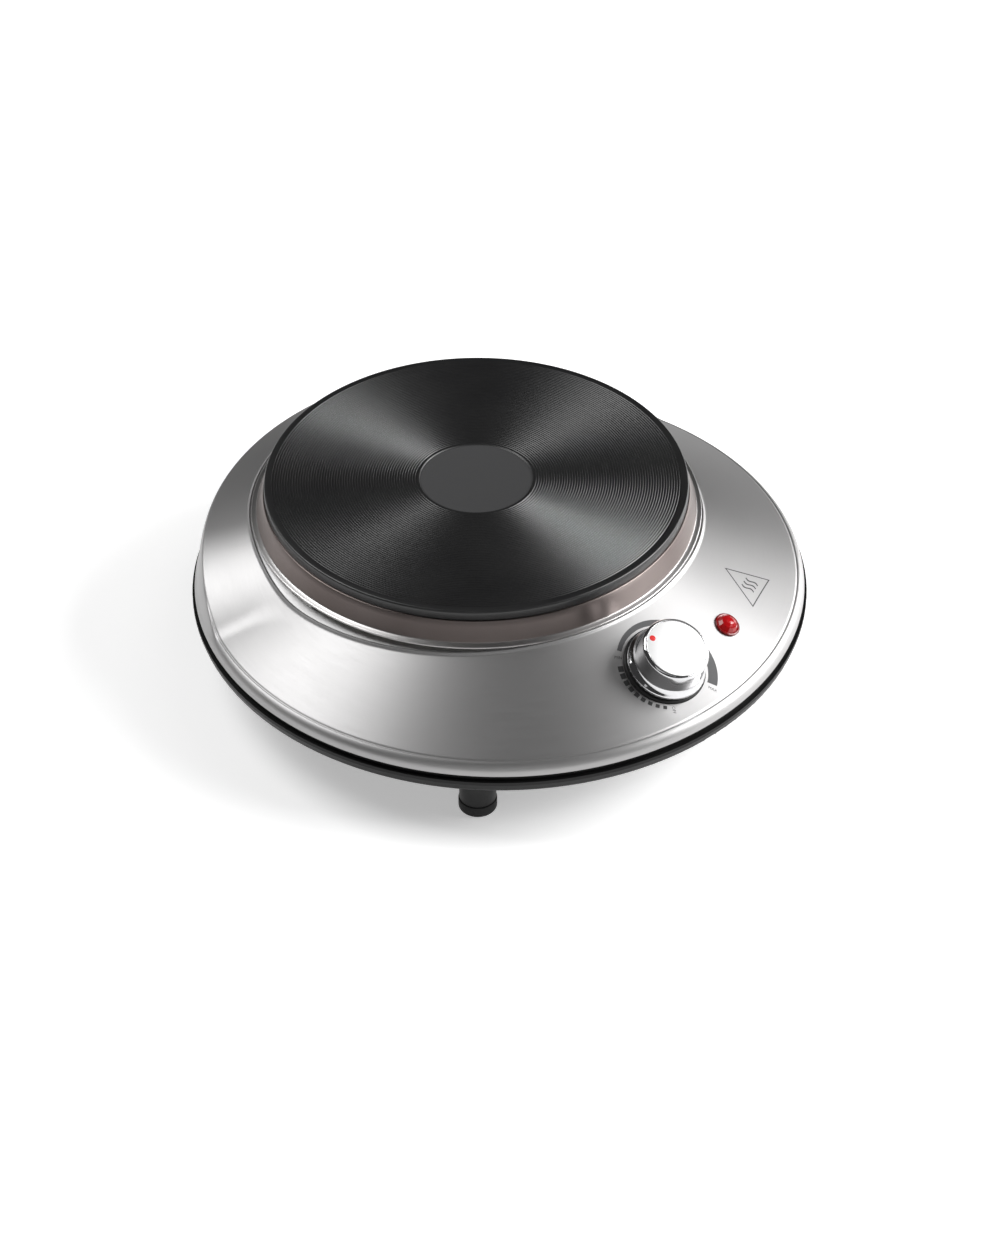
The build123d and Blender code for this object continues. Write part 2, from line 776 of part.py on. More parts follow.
def make_contact_arm():
    """Springy upper arm that the setting pin pushes, with its silver contact underneath."""
    with BuildPart() as arm:
        with BuildSketch(across(ARM_TOP - ARM_THICKNESS)):
            with Locations(((ARM_HINGE + ARM_TIP) / 2, 0)):
                Rectangle(ARM_TIP - ARM_HINGE, ARM_WIDTH)
        extrude(amount=ARM_THICKNESS)
        with BuildSketch(across(ARM_TOP - ARM_THICKNESS - 0.9)):
            with Locations((CONTACT_X, 0)):
                Circle(CONTACT_RADIUS)
        extrude(amount=0.9)
    return arm.part


def make_arm_root():
    """Clamped end of the upper arm, with its tab for a push-on connector."""
    with BuildPart() as root:
        with BuildSketch(across(ARM_TOP - ARM_THICKNESS)):
            with Locations(((ROOT_END + TAB_END) / 2, 0)):
                Rectangle(ROOT_END - TAB_END, ARM_WIDTH)
            with Locations((STACK_X, 0)):
                Circle(RIVET_RADIUS + 0.05, mode=Mode.SUBTRACT)
        extrude(amount=ARM_THICKNESS)
    return root.part


def make_fixed_contact():
    """Stiff lower contact blade with its own connector tab."""
    with BuildPart() as blade:
        with BuildSketch(across(FIXED_TOP - 0.8)):
            with Locations(((CONTACT_X + 3 + TAB_END) / 2, 0)):
                Rectangle(CONTACT_X + 3 - TAB_END, 6)
            with Locations((STACK_X, 0)):
                Circle(RIVET_RADIUS + 0.05, mode=Mode.SUBTRACT)
        extrude(amount=0.8)
        with BuildSketch(across(FIXED_TOP)):
            with Locations((CONTACT_X, 0)):
                Circle(CONTACT_RADIUS)
        extrude(amount=0.8)
    return blade.part


def make_bimetal_blade():
    """Free length of the bimetal strip, which bends with the plate's heat, and its push rod."""
    with BuildPart() as blade:
        with BuildSketch(across(BLADE_TOP - BLADE_THICKNESS)):
            with Locations((ARM_HINGE / 2, 0)):
                Rectangle(-ARM_HINGE, 8)
        extrude(amount=BLADE_THICKNESS)
        with BuildSketch(across(BLADE_TOP)):
            with Locations((-4, 0)):
                Circle(1.2)
        extrude(amount=2.6)
    return blade.part


def make_bimetal_root():
    """Clamped end of the bimetal strip."""
    with BuildPart() as root:
        with BuildSketch(across(BLADE_TOP - BLADE_THICKNESS)):
            with Locations(((ROOT_END + STACK_X - 6) / 2, 0)):
                Rectangle(ROOT_END - STACK_X + 6, 8)
            with Locations((STACK_X, 0)):
                Circle(RIVET_RADIUS + 0.05, mode=Mode.SUBTRACT)
        extrude(amount=BLADE_THICKNESS)
    return root.part


def make_stack_insulators():
    """Steatite washers that keep the blades of the stack apart."""
    gaps = (
        (ARM_TOP, FRAME_BOTTOM),
        (FIXED_TOP, ARM_TOP - ARM_THICKNESS),
        (BLADE_TOP, FIXED_TOP - 0.8),
    )
    with BuildPart() as washers:
        for bottom, top in gaps:
            with BuildSketch(across(bottom)):
                with Locations((STACK_X, 0)):
                    Circle(STACK_RADIUS)
                    Circle(RIVET_RADIUS + 0.05, mode=Mode.SUBTRACT)
            extrude(amount=top - bottom)
    return washers.part


def make_stack_rivet():
    """Rivet through the strap, the washers and the blades."""
    bottom = BLADE_TOP - BLADE_THICKNESS
    with BuildPart() as rivet:
        with BuildSketch(across(bottom)):
            with Locations((STACK_X, 0)):
                Circle(RIVET_RADIUS)
        extrude(amount=FRAME_TOP - bottom)
        for level in (bottom - RIVET_HEAD, FRAME_TOP):
            with BuildSketch(across(level)):
                with Locations((STACK_X, 0)):
                    Circle(2.6)
            extrude(amount=RIVET_HEAD)
    return rivet.part


# --- Indicator lamp -----------------------------------------------------------------------
LENS_RIM_HEIGHT = 1.0
LENS_DOME = 2.6
HOLDER_DEPTH = 13.0


def make_lamp_lens():
    """Red lens: a rim on the panel, a low dome, and a hollow neck through the hole."""
    with BuildPart() as lens:
        with BuildSketch(Plane.XZ):
            Polygon(
                (0, LENS_RIM_HEIGHT + LENS_DOME),
                (1.6, LENS_RIM_HEIGHT + LENS_DOME - 0.2),
                (3.3, LENS_RIM_HEIGHT + LENS_DOME - 1.0),
                (LAMP_RADIUS - 0.9, LENS_RIM_HEIGHT),
                (LAMP_RADIUS, LENS_RIM_HEIGHT),
                (LAMP_RADIUS, 0.05),
                (LENS_NECK, 0.05),
                (LENS_NECK, -6),
                (LENS_NECK - 1, -6),
                (LENS_NECK - 1, -0.5),
                (0, -0.5),
                align=None,
            )
        revolve(axis=Axis.Z)
    return LAMP_PLANE.location * lens.part


def make_lamp_clip():
    """Push-on spring washer that grips the lens's neck under the panel."""
    with BuildPart() as clip:
        with BuildSketch(LAMP_PLANE.offset(-2.0)):
            Circle(7.2)
            Circle(LENS_NECK + 0.02, mode=Mode.SUBTRACT)
        extrude(amount=0.5)
    return clip.part


def make_neon_lamp():
    """Neon bulb standing in the lens's neck."""
    with BuildPart() as bulb:
        with BuildSketch(LAMP_PLANE.offset(-10)):
            Circle(2.2)
        extrude(amount=8.8)
        fillet(bulb.faces().sort_by(Axis(LAMP_PLANE.origin, LAMP_PLANE.z_dir))[-1].edges(), 1.2)
    return bulb.part


def make_lamp_holder():
    """Moulded sleeve that holds the bulb up inside the lens's neck."""
    with BuildPart() as holder:
        with BuildSketch(LAMP_PLANE.offset(-HOLDER_DEPTH)):
            Circle(LENS_NECK + 0.4)
        extrude(amount=HOLDER_DEPTH - 6.1)
        with BuildSketch(LAMP_PLANE.offset(-10)):
            Circle(2.25)
        extrude(amount=5, mode=Mode.SUBTRACT)
    return holder.part


# --- Supply side --------------------------------------------------------------------------
def make_cord_gland():
    """Flanged bush in the pan's floor where the supply cord would enter."""
    with BuildPart() as gland:
        with BuildSketch(Plane.XY.offset(BASE_BOTTOM - 2.5)):
            with Locations(GLAND_POSITION):
                Circle(GLAND_NECK + 2.5)
        extrude(amount=2.5)
        with BuildSketch(Plane.XY.offset(BASE_BOTTOM)):
            with Locations(GLAND_POSITION):
                Circle(GLAND_NECK)
        extrude(amount=BASE_FLOOR + 3)
        with BuildSketch(Plane.XY.offset(BASE_BOTTOM - 2.5)):
            with Locations(GLAND_POSITION):
                Circle(GLAND_BORE)
        extrude(amount=BASE_FLOOR + 5.5, mode=Mode.SUBTRACT)
    return gland.part


CLAMP_Y = 96.0


def make_cord_clamp():
    """Saddle screwed over the cord behind the gland."""
    floor = BASE_BOTTOM + BASE_FLOOR
    with BuildPart() as saddle:
        with BuildSketch(Plane.XZ.offset(-CLAMP_Y - 4)):
            Polygon(
                (-13, floor),
                (-5.5, floor),
                (-4, floor + 6),
                (4, floor + 6),
                (5.5, floor),
                (13, floor),
                (13, floor + 2),
                (7, floor + 2),
                (5, floor + 8),
                (-5, floor + 8),
                (-7, floor + 2),
                (-13, floor + 2),
                align=None,
            )
        extrude(amount=8)
        with BuildSketch(Plane.XY.offset(floor)):
            with Locations((-10, CLAMP_Y), (10, CLAMP_Y)):
                Circle(1.6)
        extrude(amount=2, mode=Mode.SUBTRACT)
    return saddle.part


def make_clamp_screws():
    """Two screws that draw the saddle down on the cord."""
    floor = BASE_BOTTOM + BASE_FLOOR
    with BuildPart() as screws:
        with BuildSketch(Plane.XY.offset(floor)):
            with Locations((-10, CLAMP_Y), (10, CLAMP_Y)):
                Circle(1.5)
        extrude(amount=2)
        with BuildSketch(Plane.XY.offset(floor + 2)):
            with Locations((-10, CLAMP_Y), (10, CLAMP_Y)):
                Circle(2.7)
        extrude(amount=1.8)
    return screws.part


MAINS_Y = 78.0
MAINS_WAYS = (30.0, 40.0, 50.0, 60.0)  # live, earth, neutral, lamp
WAY_RADIUS = 2.0


def make_mains_block():
    """Four-way ceramic terminal block on the pan's floor."""
    floor = BASE_BOTTOM + BASE_FLOOR
    with BuildPart() as block:
        with BuildSketch(Plane.XY.offset(floor)):
            with Locations((sum(MAINS_WAYS) / 4, MAINS_Y)):
                RectangleRounded(42, 16, 2)
        extrude(amount=11)
        with BuildSketch(Plane.XZ.offset(-MAINS_Y - 10)):
            with Locations(*[(x, floor + 5) for x in MAINS_WAYS]):
                Circle(WAY_RADIUS)
        extrude(amount=20, mode=Mode.SUBTRACT)
        with BuildSketch(Plane.XY.offset(floor + 7)):
            with Locations(*[(x, MAINS_Y) for x in MAINS_WAYS]):
                Circle(WAY_RADIUS)
        extrude(amount=4, mode=Mode.SUBTRACT)
    return block.part


def make_block_screws():
    """Clamping screws of the terminal block."""
    floor = BASE_BOTTOM + BASE_FLOOR
    with BuildPart() as screws:
        with BuildSketch(Plane.XY.offset(floor + 7.2)):
            with Locations(*[(x, MAINS_Y) for x in MAINS_WAYS]):
                Circle(WAY_RADIUS - 0.1)
        extrude(amount=3)
    return screws.part


def make_earth_screw():
    """Earth screw into the casting, with its tag."""
    bottom = LAND_BOTTOM - 3
    with BuildPart() as earth:
        with BuildSketch(Plane.XY.offset(bottom)):
            with Locations(EARTH_STUD):
                Circle(2.0)
        extrude(amount=7)
        with BuildSketch(Plane.XY.offset(bottom - 1.6)):
            with Locations(EARTH_STUD):
                Circle(3.6)
        extrude(amount=1.6)
        with BuildSketch(Plane.XY.offset(bottom)):
            with Locations((EARTH_STUD[0] + 5, EARTH_STUD[1])):
                Rectangle(16, 6)
        extrude(amount=0.8)
    return earth.part


FUSE_X = -12.0
FUSE_Y = TERMINAL_Y - 24
FUSE_Z = 56.6
FUSE_HALF = 9.0


def make_thermal_fuse():
    """Overheat fuse in its glass sleeve, in line with one coil lead."""
    with BuildPart() as fuse:
        with BuildSketch(Plane.XZ.offset(-FUSE_Y)):
            with Locations((FUSE_X, FUSE_Z)):
                Circle(2.4)
        extrude(amount=FUSE_HALF, both=True)
    return fuse.part


# --- Internal leads -----------------------------------------------------------------------
def lead(*route, radius=WIRE_RADIUS, bend=5.0):
    """Insulated lead of round section along straight runs joined by round bends."""
    with BuildPart() as tube:
        with BuildLine() as path:
            FilletPolyline(*route, radius=bend)
        with BuildSketch(Plane(origin=path.line @ 0, z_dir=path.line % 0)):
            Circle(radius)
        sweep()
    return tube.part


def on_panel(plane, x, y, depth):
    """Point given in a panel plane's own axes."""
    return plane.from_local_coords(Vector(x, y, depth))


PIN_FOOT = BLOCK_TOP - BLOCK_HEIGHT - 5
WAY_LEVEL = BASE_BOTTOM + BASE_FLOOR + 5


def make_lead_live():
    """From the terminal block round the left side to the thermostat's lower tab."""
    live_x = MAINS_WAYS[0]
    start = MAINS_Y - 8.2
    tab = on_panel(KNOB_PLANE, TAB_END - 0.2, 0, FIXED_TOP - 0.4)
    return lead(
        (live_x, start, WAY_LEVEL),
        (live_x, start - 14, WAY_LEVEL),
        (-60, 50, WAY_LEVEL),
        (-98, 0, WAY_LEVEL),
        (-92, -62, WAY_LEVEL + 1),
        (tab.X - 10, tab.Y, tab.Z),
        (tab.X, tab.Y, tab.Z),
    )


def make_lead_switched():
    """From the thermostat's upper tab over the heat shield's rim to the fuse."""
    tab = on_panel(KNOB_PLANE, TAB_END - 0.2, 0, ARM_TOP - ARM_THICKNESS / 2)
    return lead(
        (tab.X, tab.Y, tab.Z),
        (tab.X - 10, tab.Y, tab.Z),
        (tab.X - 10, tab.Y + 20, tab.Z + 4),
        (FUSE_X - 6, FUSE_Y - FUSE_HALF - 12, FUSE_Z - 4),
        (FUSE_X, FUSE_Y - FUSE_HALF - 6, FUSE_Z),
        (FUSE_X, FUSE_Y - FUSE_HALF - 0.2, FUSE_Z),
        bend=2.0,
    )


def make_lead_neutral():
    """From the terminal block round the right side and up to the plate's far terminal."""
    x = MAINS_WAYS[2]
    start = MAINS_Y - 8.2
    return lead(
        (x, start, WAY_LEVEL),
        (x, start - 14, WAY_LEVEL),
        (x + 22, 20, WAY_LEVEL),
        (x + 10, -40, WAY_LEVEL),
        (TERMINAL_X[2], TERMINAL_Y - 4, WAY_LEVEL + 2),
        (TERMINAL_X[2], TERMINAL_Y, PIN_FOOT - 8),
        (TERMINAL_X[2], TERMINAL_Y, PIN_FOOT - 0.2),
        bend=3.0,
    )


def make_lead_earth():
    """From the terminal block up through the heat shield to the casting's earth tag."""
    x = MAINS_WAYS[1]
    start = MAINS_Y - 8.2
    tag_x, tag_y = EARTH_TAG_END
    return lead(
        (x, start, WAY_LEVEL),
        (x, start - 12, WAY_LEVEL),
        (tag_x, tag_y, WAY_LEVEL + 4),
        (tag_x, tag_y, LAND_BOTTOM - 3.2),
    )


def make_lead_fuse():
    """Bare link from the fuse to the plate's near terminal."""
    low = PIN_FOOT - 2.4
    return lead(
        (FUSE_X, FUSE_Y + FUSE_HALF + 0.2, FUSE_Z),
        (FUSE_X, FUSE_Y + FUSE_HALF + 5, FUSE_Z),
        (FUSE_X, FUSE_Y + FUSE_HALF + 5, low),
        (FUSE_X, TERMINAL_Y, low),
        (FUSE_X, TERMINAL_Y, PIN_FOOT - 0.2),
        radius=0.8,
        bend=1.5,
    )


def make_lead_lamp():
    """Two thin leads from the lamp holder back to the terminal block."""
    start = MAINS_Y - 8.2
    way = MAINS_WAYS[3]
    pair = []
    for side in (-1, 1):
        top = on_panel(LAMP_PLANE, 2 * side, 0, -HOLDER_DEPTH - 0.2)
        bottom = on_panel(LAMP_PLANE, 2 * side, 0, -HOLDER_DEPTH - 4.5)
        pair.append(
            lead(
                (top.X, top.Y, top.Z),
                (bottom.X, bottom.Y, bottom.Z),
                (84 + 2 * side, -50, WAY_LEVEL),
                (84 + 2 * side, 30, WAY_LEVEL),
                (way + 0.95 * side, start - 10, WAY_LEVEL + 2),
                (way + 0.95 * side, start, WAY_LEVEL),
                radius=0.8,
                bend=2.0,
            )
        )
    return Compound(children=pair)


# --- Write every piece --------------------------------------------------------------------
def keep(part, name):
    part.label = name
    export_step(part, f"parts/{name}.step")


os.makedirs("parts", exist_ok=True)
keep(make_hotplate(), "hotplate_casting")
keep(make_heating_coils(), "heating_coils")
keep(make_insulation(), "insulation_filling")
keep(make_plate_cover(), "plate_cover")
keep(make_plate_terminal_block(), "plate_terminal_block")
keep(make_plate_terminals(), "plate_terminals")
keep(make_spill_ring(), "spill_ring")
keep(make_ring_gasket(), "ring_gasket")
keep(make_centre_stud(), "centre_stud")
keep(make_clamp_bridge(), "clamp_bridge")
keep(make_heat_shield(), "heat_shield")
keep(make_stud_washer(), "stud_washer")
keep(make_stud_nut(), "stud_nut")
keep(make_top_shell(), "top_shell")
keep(make_shell_brackets(), "shell_brackets")
keep(make_base_pan(), "base_pan")
for place, leg, pad in zip(
    ("front_left", "rear_left", "front_right", "rear_right"), make_foot_legs(), make_foot_pads()
):
    keep(leg, f"leg_{place}")
    keep(pad, f"foot_pad_{place}")
keep(make_foot_screws(), "foot_screws")
keep(make_base_screws(), "base_screws")
keep(make_knob_body(), "knob_body")
keep(make_knob_cap(), "knob_cap")
keep(make_knob_dot(), "knob_dot")
keep(make_control_shaft(), "control_shaft")
keep(make_dial_bezel(), "dial_bezel")
keep(make_thermostat_bush(), "thermostat_bush")
keep(make_thermostat_nut(), "thermostat_nut")
keep(make_thermostat_frame(), "thermostat_frame")
keep(make_pin_guide(), "pin_guide")
keep(make_setting_pin(), "setting_pin")
keep(make_contact_arm(), "contact_arm")
keep(make_arm_root(), "arm_root")
keep(make_fixed_contact(), "fixed_contact")
keep(make_bimetal_blade(), "bimetal_blade")
keep(make_bimetal_root(), "bimetal_root")
keep(make_stack_insulators(), "stack_insulators")
keep(make_stack_rivet(), "stack_rivet")
keep(make_lamp_lens(), "lamp_lens")
keep(make_lamp_clip(), "lamp_clip")
keep(make_neon_lamp(), "neon_lamp")
keep(make_lamp_holder(), "lamp_holder")
keep(make_cord_gland(), "cord_gland")
keep(make_cord_clamp(), "cord_clamp")
keep(make_clamp_screws(), "clamp_screws")
keep(make_mains_block(), "mains_block")
keep(make_block_screws(), "block_screws")
keep(make_earth_screw(), "earth_screw")
keep(make_thermal_fuse(), "thermal_fuse")
keep(make_lead_live(), "lead_live")
keep(make_lead_switched(), "lead_switched")
keep(make_lead_neutral(), "lead_neutral")
keep(make_lead_earth(), "lead_earth")
keep(make_lead_fuse(), "lead_fuse")
keep(make_lead_lamp(), "lead_lamp")
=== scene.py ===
import json
import math
import bmesh
import bpy
from mathutils import Matrix, Vector


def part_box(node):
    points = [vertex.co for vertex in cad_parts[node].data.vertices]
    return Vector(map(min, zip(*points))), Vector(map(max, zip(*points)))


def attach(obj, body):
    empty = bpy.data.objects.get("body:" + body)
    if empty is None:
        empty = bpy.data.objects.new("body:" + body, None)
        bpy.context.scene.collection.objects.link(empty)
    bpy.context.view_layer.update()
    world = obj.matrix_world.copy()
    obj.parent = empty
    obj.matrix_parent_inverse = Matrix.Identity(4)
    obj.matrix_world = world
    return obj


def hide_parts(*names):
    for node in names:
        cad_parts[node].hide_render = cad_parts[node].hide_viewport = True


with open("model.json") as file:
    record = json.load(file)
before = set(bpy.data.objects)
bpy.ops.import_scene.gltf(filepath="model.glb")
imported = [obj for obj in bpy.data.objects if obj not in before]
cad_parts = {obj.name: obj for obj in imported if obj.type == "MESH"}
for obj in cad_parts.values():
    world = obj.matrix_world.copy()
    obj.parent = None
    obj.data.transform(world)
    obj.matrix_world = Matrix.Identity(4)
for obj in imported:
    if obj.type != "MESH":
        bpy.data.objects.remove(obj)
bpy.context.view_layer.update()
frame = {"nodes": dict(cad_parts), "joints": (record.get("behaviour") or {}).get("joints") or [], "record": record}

# --- Camera -------------------------------------------------------------------------------
# A long lens in front of the burner's left side, looking down on the cooking plate. The plate
# stands a little above and left of the picture's middle.
MM = 0.001
plate_low, plate_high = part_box("hotplate_casting")
plate_centre = Vector(((plate_low.x + plate_high.x) / 2, (plate_low.y + plate_high.y) / 2, plate_high.z))


def seen_from(turn, rise):
    """Direction from the burner, turned from its front towards its right, in degrees."""
    turn, rise = math.radians(turn), math.radians(rise)
    return Vector((math.sin(turn) * math.cos(rise), -math.cos(turn) * math.cos(rise), math.sin(rise)))


camera_turn = -39.5
camera_back = seen_from(camera_turn, 39.56)
camera_right = seen_from(camera_turn + 90, 0)
camera_up = camera_back.cross(camera_right)
camera_spot = plate_centre + camera_back * 1.3001 + camera_right * 0.0103 - camera_up * 0.0637
camera = bpy.data.objects.new("camera", bpy.data.cameras.new("camera"))
bpy.context.scene.collection.objects.link(camera)
camera.data.lens = 86.19
camera_axes = Matrix((camera_right, camera_up, camera_back)).transposed().to_4x4()
camera.matrix_world = Matrix.Translation(camera_spot) @ camera_axes
bpy.context.scene.camera = camera

# --- Table, room and soft lights ----------------------------------------------------------
# A plain white table, a pale room with a dark ceiling, and soft boxes behind the burner to its
# right and left, with a faint one in front. Spun steel and turned iron shine where a box faces
# their grain.


class Shade:
    """A value in a material: Python sums on it add the nodes that work the sum out."""

    def __init__(self, tree, socket=None):
        self.tree = tree
        self.socket = socket

    def node(self, kind, settings=None, sockets=None, output=0):
        made = self.tree.nodes.new("ShaderNode" + kind)
        for name, value in (settings or {}).items():
            if name == "stops":
                ramp = made.color_ramp
                while len(ramp.elements) < len(value):
                    ramp.elements.new(0.5)
                for stop, (place, level) in zip(ramp.elements, value):
                    stop.position = place
                    stop.color = (level, level, level, 1)
            else:
                setattr(made, name, value)
        for name, value in (sockets or {}).items():
            if isinstance(value, Shade):
                self.tree.links.new(value.socket, made.inputs[name])
            else:
                made.inputs[name].default_value = value
        return None if output is None else Shade(self.tree, made.outputs[output])

    def sum(self, operation, *values):
        return self.node("Math", {"operation": operation}, dict(enumerate(values)))

    def __add__(self, other):
        return self.sum("ADD", self, other)

    def __sub__(self, other):
        return self.sum("SUBTRACT", self, other)

    def __rsub__(self, other):
        return self.sum("SUBTRACT", other, self)

    def __mul__(self, other):
        return self.sum("MULTIPLY", self, other)

    __radd__ = __add__
    __rmul__ = __mul__


def stepped(value, *stops):
    """The value carried through (place, level) stops."""
    return value.node("ValToRGB", {"stops": stops}, {"Fac": value})


def blend(value, low, high):
    """A colour between two others, by the value."""
    low, high = [shade if isinstance(shade, Shade) else (*shade, 1) for shade in (low, high)]
    return value.node("Mix", {"data_type": "RGBA"}, {"Factor": value, 6: low, 7: high}, 2)


def cloud(shade, scale, detail=2.0, place=None):
    """Soft uneven noise at a scale per metre."""
    place = place or shade.node("TexCoord", output="Object")
    return shade.node("TexNoise", None, {"Vector": place, "Scale": scale, "Detail": detail}, "Fac")


def relief(height, depth, strength=1.0):
    """Surface normals from a height, in metres of depth."""
    return height.node("Bump", None, {"Height": height, "Distance": depth, "Strength": strength})


def finish_of(name, settle):
    """Makes a material whose shader sockets are what settle gives."""
    material = bpy.data.materials.new(name)
    material.use_nodes = True
    material.node_tree.nodes.clear()
    start = Shade(material.node_tree)
    surface = start.node("BsdfPrincipled", None, settle(start))
    start.node("OutputMaterial", None, {"Surface": surface}, output=None)
    return material


floor_form = bmesh.new()
bmesh.ops.create_grid(floor_form, x_segments=1, y_segments=1, size=6)
floor_mesh = bpy.data.meshes.new("table")
floor_form.to_mesh(floor_mesh)
floor_form.free()
floor = bpy.data.objects.new("table", floor_mesh)
bpy.context.scene.collection.objects.link(floor)


def table_paint(shade):
    mottle = cloud(shade, 3)
    return {
        "Base Color": blend(mottle, (0.93, 0.93, 0.93), (0.95, 0.95, 0.95)),
        "Roughness": 0.8,
        "Emission Color": (1, 1, 1, 1),
        "Emission Strength": 0.4,
    }


floor_mesh.materials.append(finish_of("white_table", table_paint))

room = bpy.data.worlds.new("room")
bpy.context.scene.world = room
room.use_nodes = True
room_start = Shade(room.node_tree)
sky_way = room_start.node("TexCoord", output="Generated")
sky_rise = room_start.node("SeparateXYZ", None, {"Vector": sky_way}, "Z")
behind = seen_from(camera_turn + 180, 0)
sky_depth = room_start.node("VectorMath", {"operation": "DOT_PRODUCT"}, {0: sky_way, 1: behind}, "Value")
ceiling = stepped(sky_rise, (0.0, 0.95), (0.44, 0.95), (0.66, 0.12), (0.8, 0.03))
back_wall = stepped(sky_depth * 0.5 + 0.5, (0.15, 0.14), (0.6, 1.0))
room_light = room_start.node("Background", None, {"Color": ceiling * back_wall, "Strength": 1.45})
room_start.node("OutputWorld", None, {"Surface": room_light}, output=None)
bpy.context.scene.view_settings.view_transform = "Standard"


def soft_box(name, turn, rise, distance, width, height, power):
    """A soft box aimed at the plate, with its turn counted from the camera to its right."""
    away = seen_from(camera_turn + turn, rise)
    light = bpy.data.lights.new(name, "AREA")
    light.shape = "RECTANGLE"
    light.size = width
    light.size_y = height
    light.energy = power
    lamp = bpy.data.objects.new(name, light)
    bpy.context.scene.collection.objects.link(lamp)
    aimed = away.to_track_quat("Z", "Y").to_matrix().to_4x4()
    lamp.matrix_world = Matrix.Translation(plate_centre + away * distance) @ aimed


soft_box("right_box", 92, 29, 1.5, 1.1, 0.75, 29)
soft_box("low_box", 125, 9, 1.5, 0.5, 0.35, 5)
soft_box("left_box", -110, 52, 1.5, 0.9, 0.9, 13)
soft_box("front_box", 0, 26, 1.8, 1.8, 0.6, 2)
soft_box("high_box", 115, 60, 1.5, 0.7, 0.5, 0.8)

# --- Cooking plate ------------------------------------------------------------------------
# A grey-iron casting faced on a lathe: fine round grooves run from the sunk centre disc to
# the rim. It is coated black against rust, and hollow underneath for the heating coils.
plate_axis = (plate_centre.x, plate_centre.y)
plate_radius = (plate_high.x - plate_low.x) / 2 / MM
plate_top = plate_high.z / MM
plate_bottom = plate_low.z / MM
casting_radius = plate_radius - 2.2
plate_lip = plate_top - 4.4
centre_disc = 25.0
centre_depth = 0.5
groove_pitch = 1.135
groove_depth = 0.3
groove_count = 56
groove_profile = ((0, 0), (0.26, 0.9), (0.30, 1), (0.34, 0.9), (0.6, 0))
coil_roof, coil_foot = 67.0, 62.0
inner_channel, outer_channel = (35, 57.5), (62.5, 85.5)


def plate_section():
    """(radius, height, rounding) corners in millimetres, over the grooves and back beneath."""
    section = [
        (0, plate_top - centre_depth, 0),
        (centre_disc - centre_depth, plate_top - centre_depth, 0.2),
        (centre_disc, plate_top, 0.12),
    ]
    for groove in range(groove_count):
        start = centre_disc + 1 + groove * groove_pitch
        for along, down in groove_profile:
            section.append((start + along * groove_pitch, plate_top - down * groove_depth, 0))
    return section + [
        (centre_disc + 1 + groove_count * groove_pitch, plate_top, 0),
        (plate_radius - 0.4, plate_top, 0.4),
        (plate_radius, plate_top - 0.9, 0.3),
        (plate_radius, plate_lip, 0.3),
        (casting_radius, plate_lip, 0),
        (casting_radius, plate_bottom, 0.5),
        (outer_channel[1], plate_bottom, 0.3),
        (outer_channel[1], coil_roof, 0),
        (outer_channel[0], coil_roof, 0),
        (outer_channel[0], coil_foot, 0),
        (inner_channel[1], coil_foot, 0),
        (inner_channel[1], coil_roof, 0),
        (inner_channel[0], coil_roof, 0),
        (inner_channel[0], coil_foot, 0),
        (0, coil_foot, 0),
    ]


def turned(section, steps, axis=(0, 0)):
    """Spins a closed section round an upright axis, its marked corners rounded first."""
    form = bmesh.new()
    corners = [form.verts.new((radius * MM, 0, height * MM)) for radius, height, _ in section]
    form.faces.new(corners)
    for corner, (_, _, rounding) in zip(corners, section):
        if rounding:
            bmesh.ops.bevel(
                form, geom=[corner], offset=rounding * MM, offset_type="OFFSET", segments=3,
                profile=0.5, material=-1, affect="VERTICES",
            )
    bmesh.ops.delete(form, geom=form.faces[:], context="FACES_ONLY")
    hub = [edge for edge in form.edges if all(vert.co.x < 1e-7 for vert in edge.verts)]
    bmesh.ops.delete(form, geom=hub, context="EDGES")
    bmesh.ops.spin(
        form, geom=form.verts[:] + form.edges[:], cent=(0, 0, 0), axis=(0, 0, 1),
        angle=math.tau, steps=steps, use_merge=True,
    )
    bmesh.ops.remove_doubles(form, verts=form.verts[:], dist=2e-6)
    bmesh.ops.recalc_face_normals(form, faces=form.faces[:])
    bmesh.ops.translate(form, verts=form.verts[:], vec=(*axis, 0))
    return form


def add_piece(name, form, material, body, slot, *replaced, crisp=35):
    """Makes the form a piece that rides on a body, with edges sharp past a crisp angle."""
    mesh = bpy.data.meshes.new(name)
    form.to_mesh(mesh)
    form.free()
    mesh.shade_smooth()
    mesh.set_sharp_from_angle(angle=math.radians(crisp))
    mesh.materials.append(material)
    piece = bpy.data.objects.new(name, mesh)
    bpy.context.scene.collection.objects.link(piece)
    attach(piece, body)
    if replaced:
        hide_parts(*replaced)


def round_lay(shade, axis, drift=0.006, upright=0.2):
    """Coordinates that follow a lathe: quick along the radius, slow round the axis."""
    place = shade.node("TexCoord", output="Object")
    x = shade.node("SeparateXYZ", None, {"Vector": place}, "X") - axis[0]
    y = shade.node("SeparateXYZ", None, {"Vector": place}, "Y") - axis[1]
    z = shade.node("SeparateXYZ", None, {"Vector": place}, "Z")
    radius = shade.sum("SQRT", x * x + y * y)
    round_way = shade.sum("ARCTAN2", y, x)
    return shade.node("CombineXYZ", None, {"X": radius, "Y": round_way * drift, "Z": z * upright})


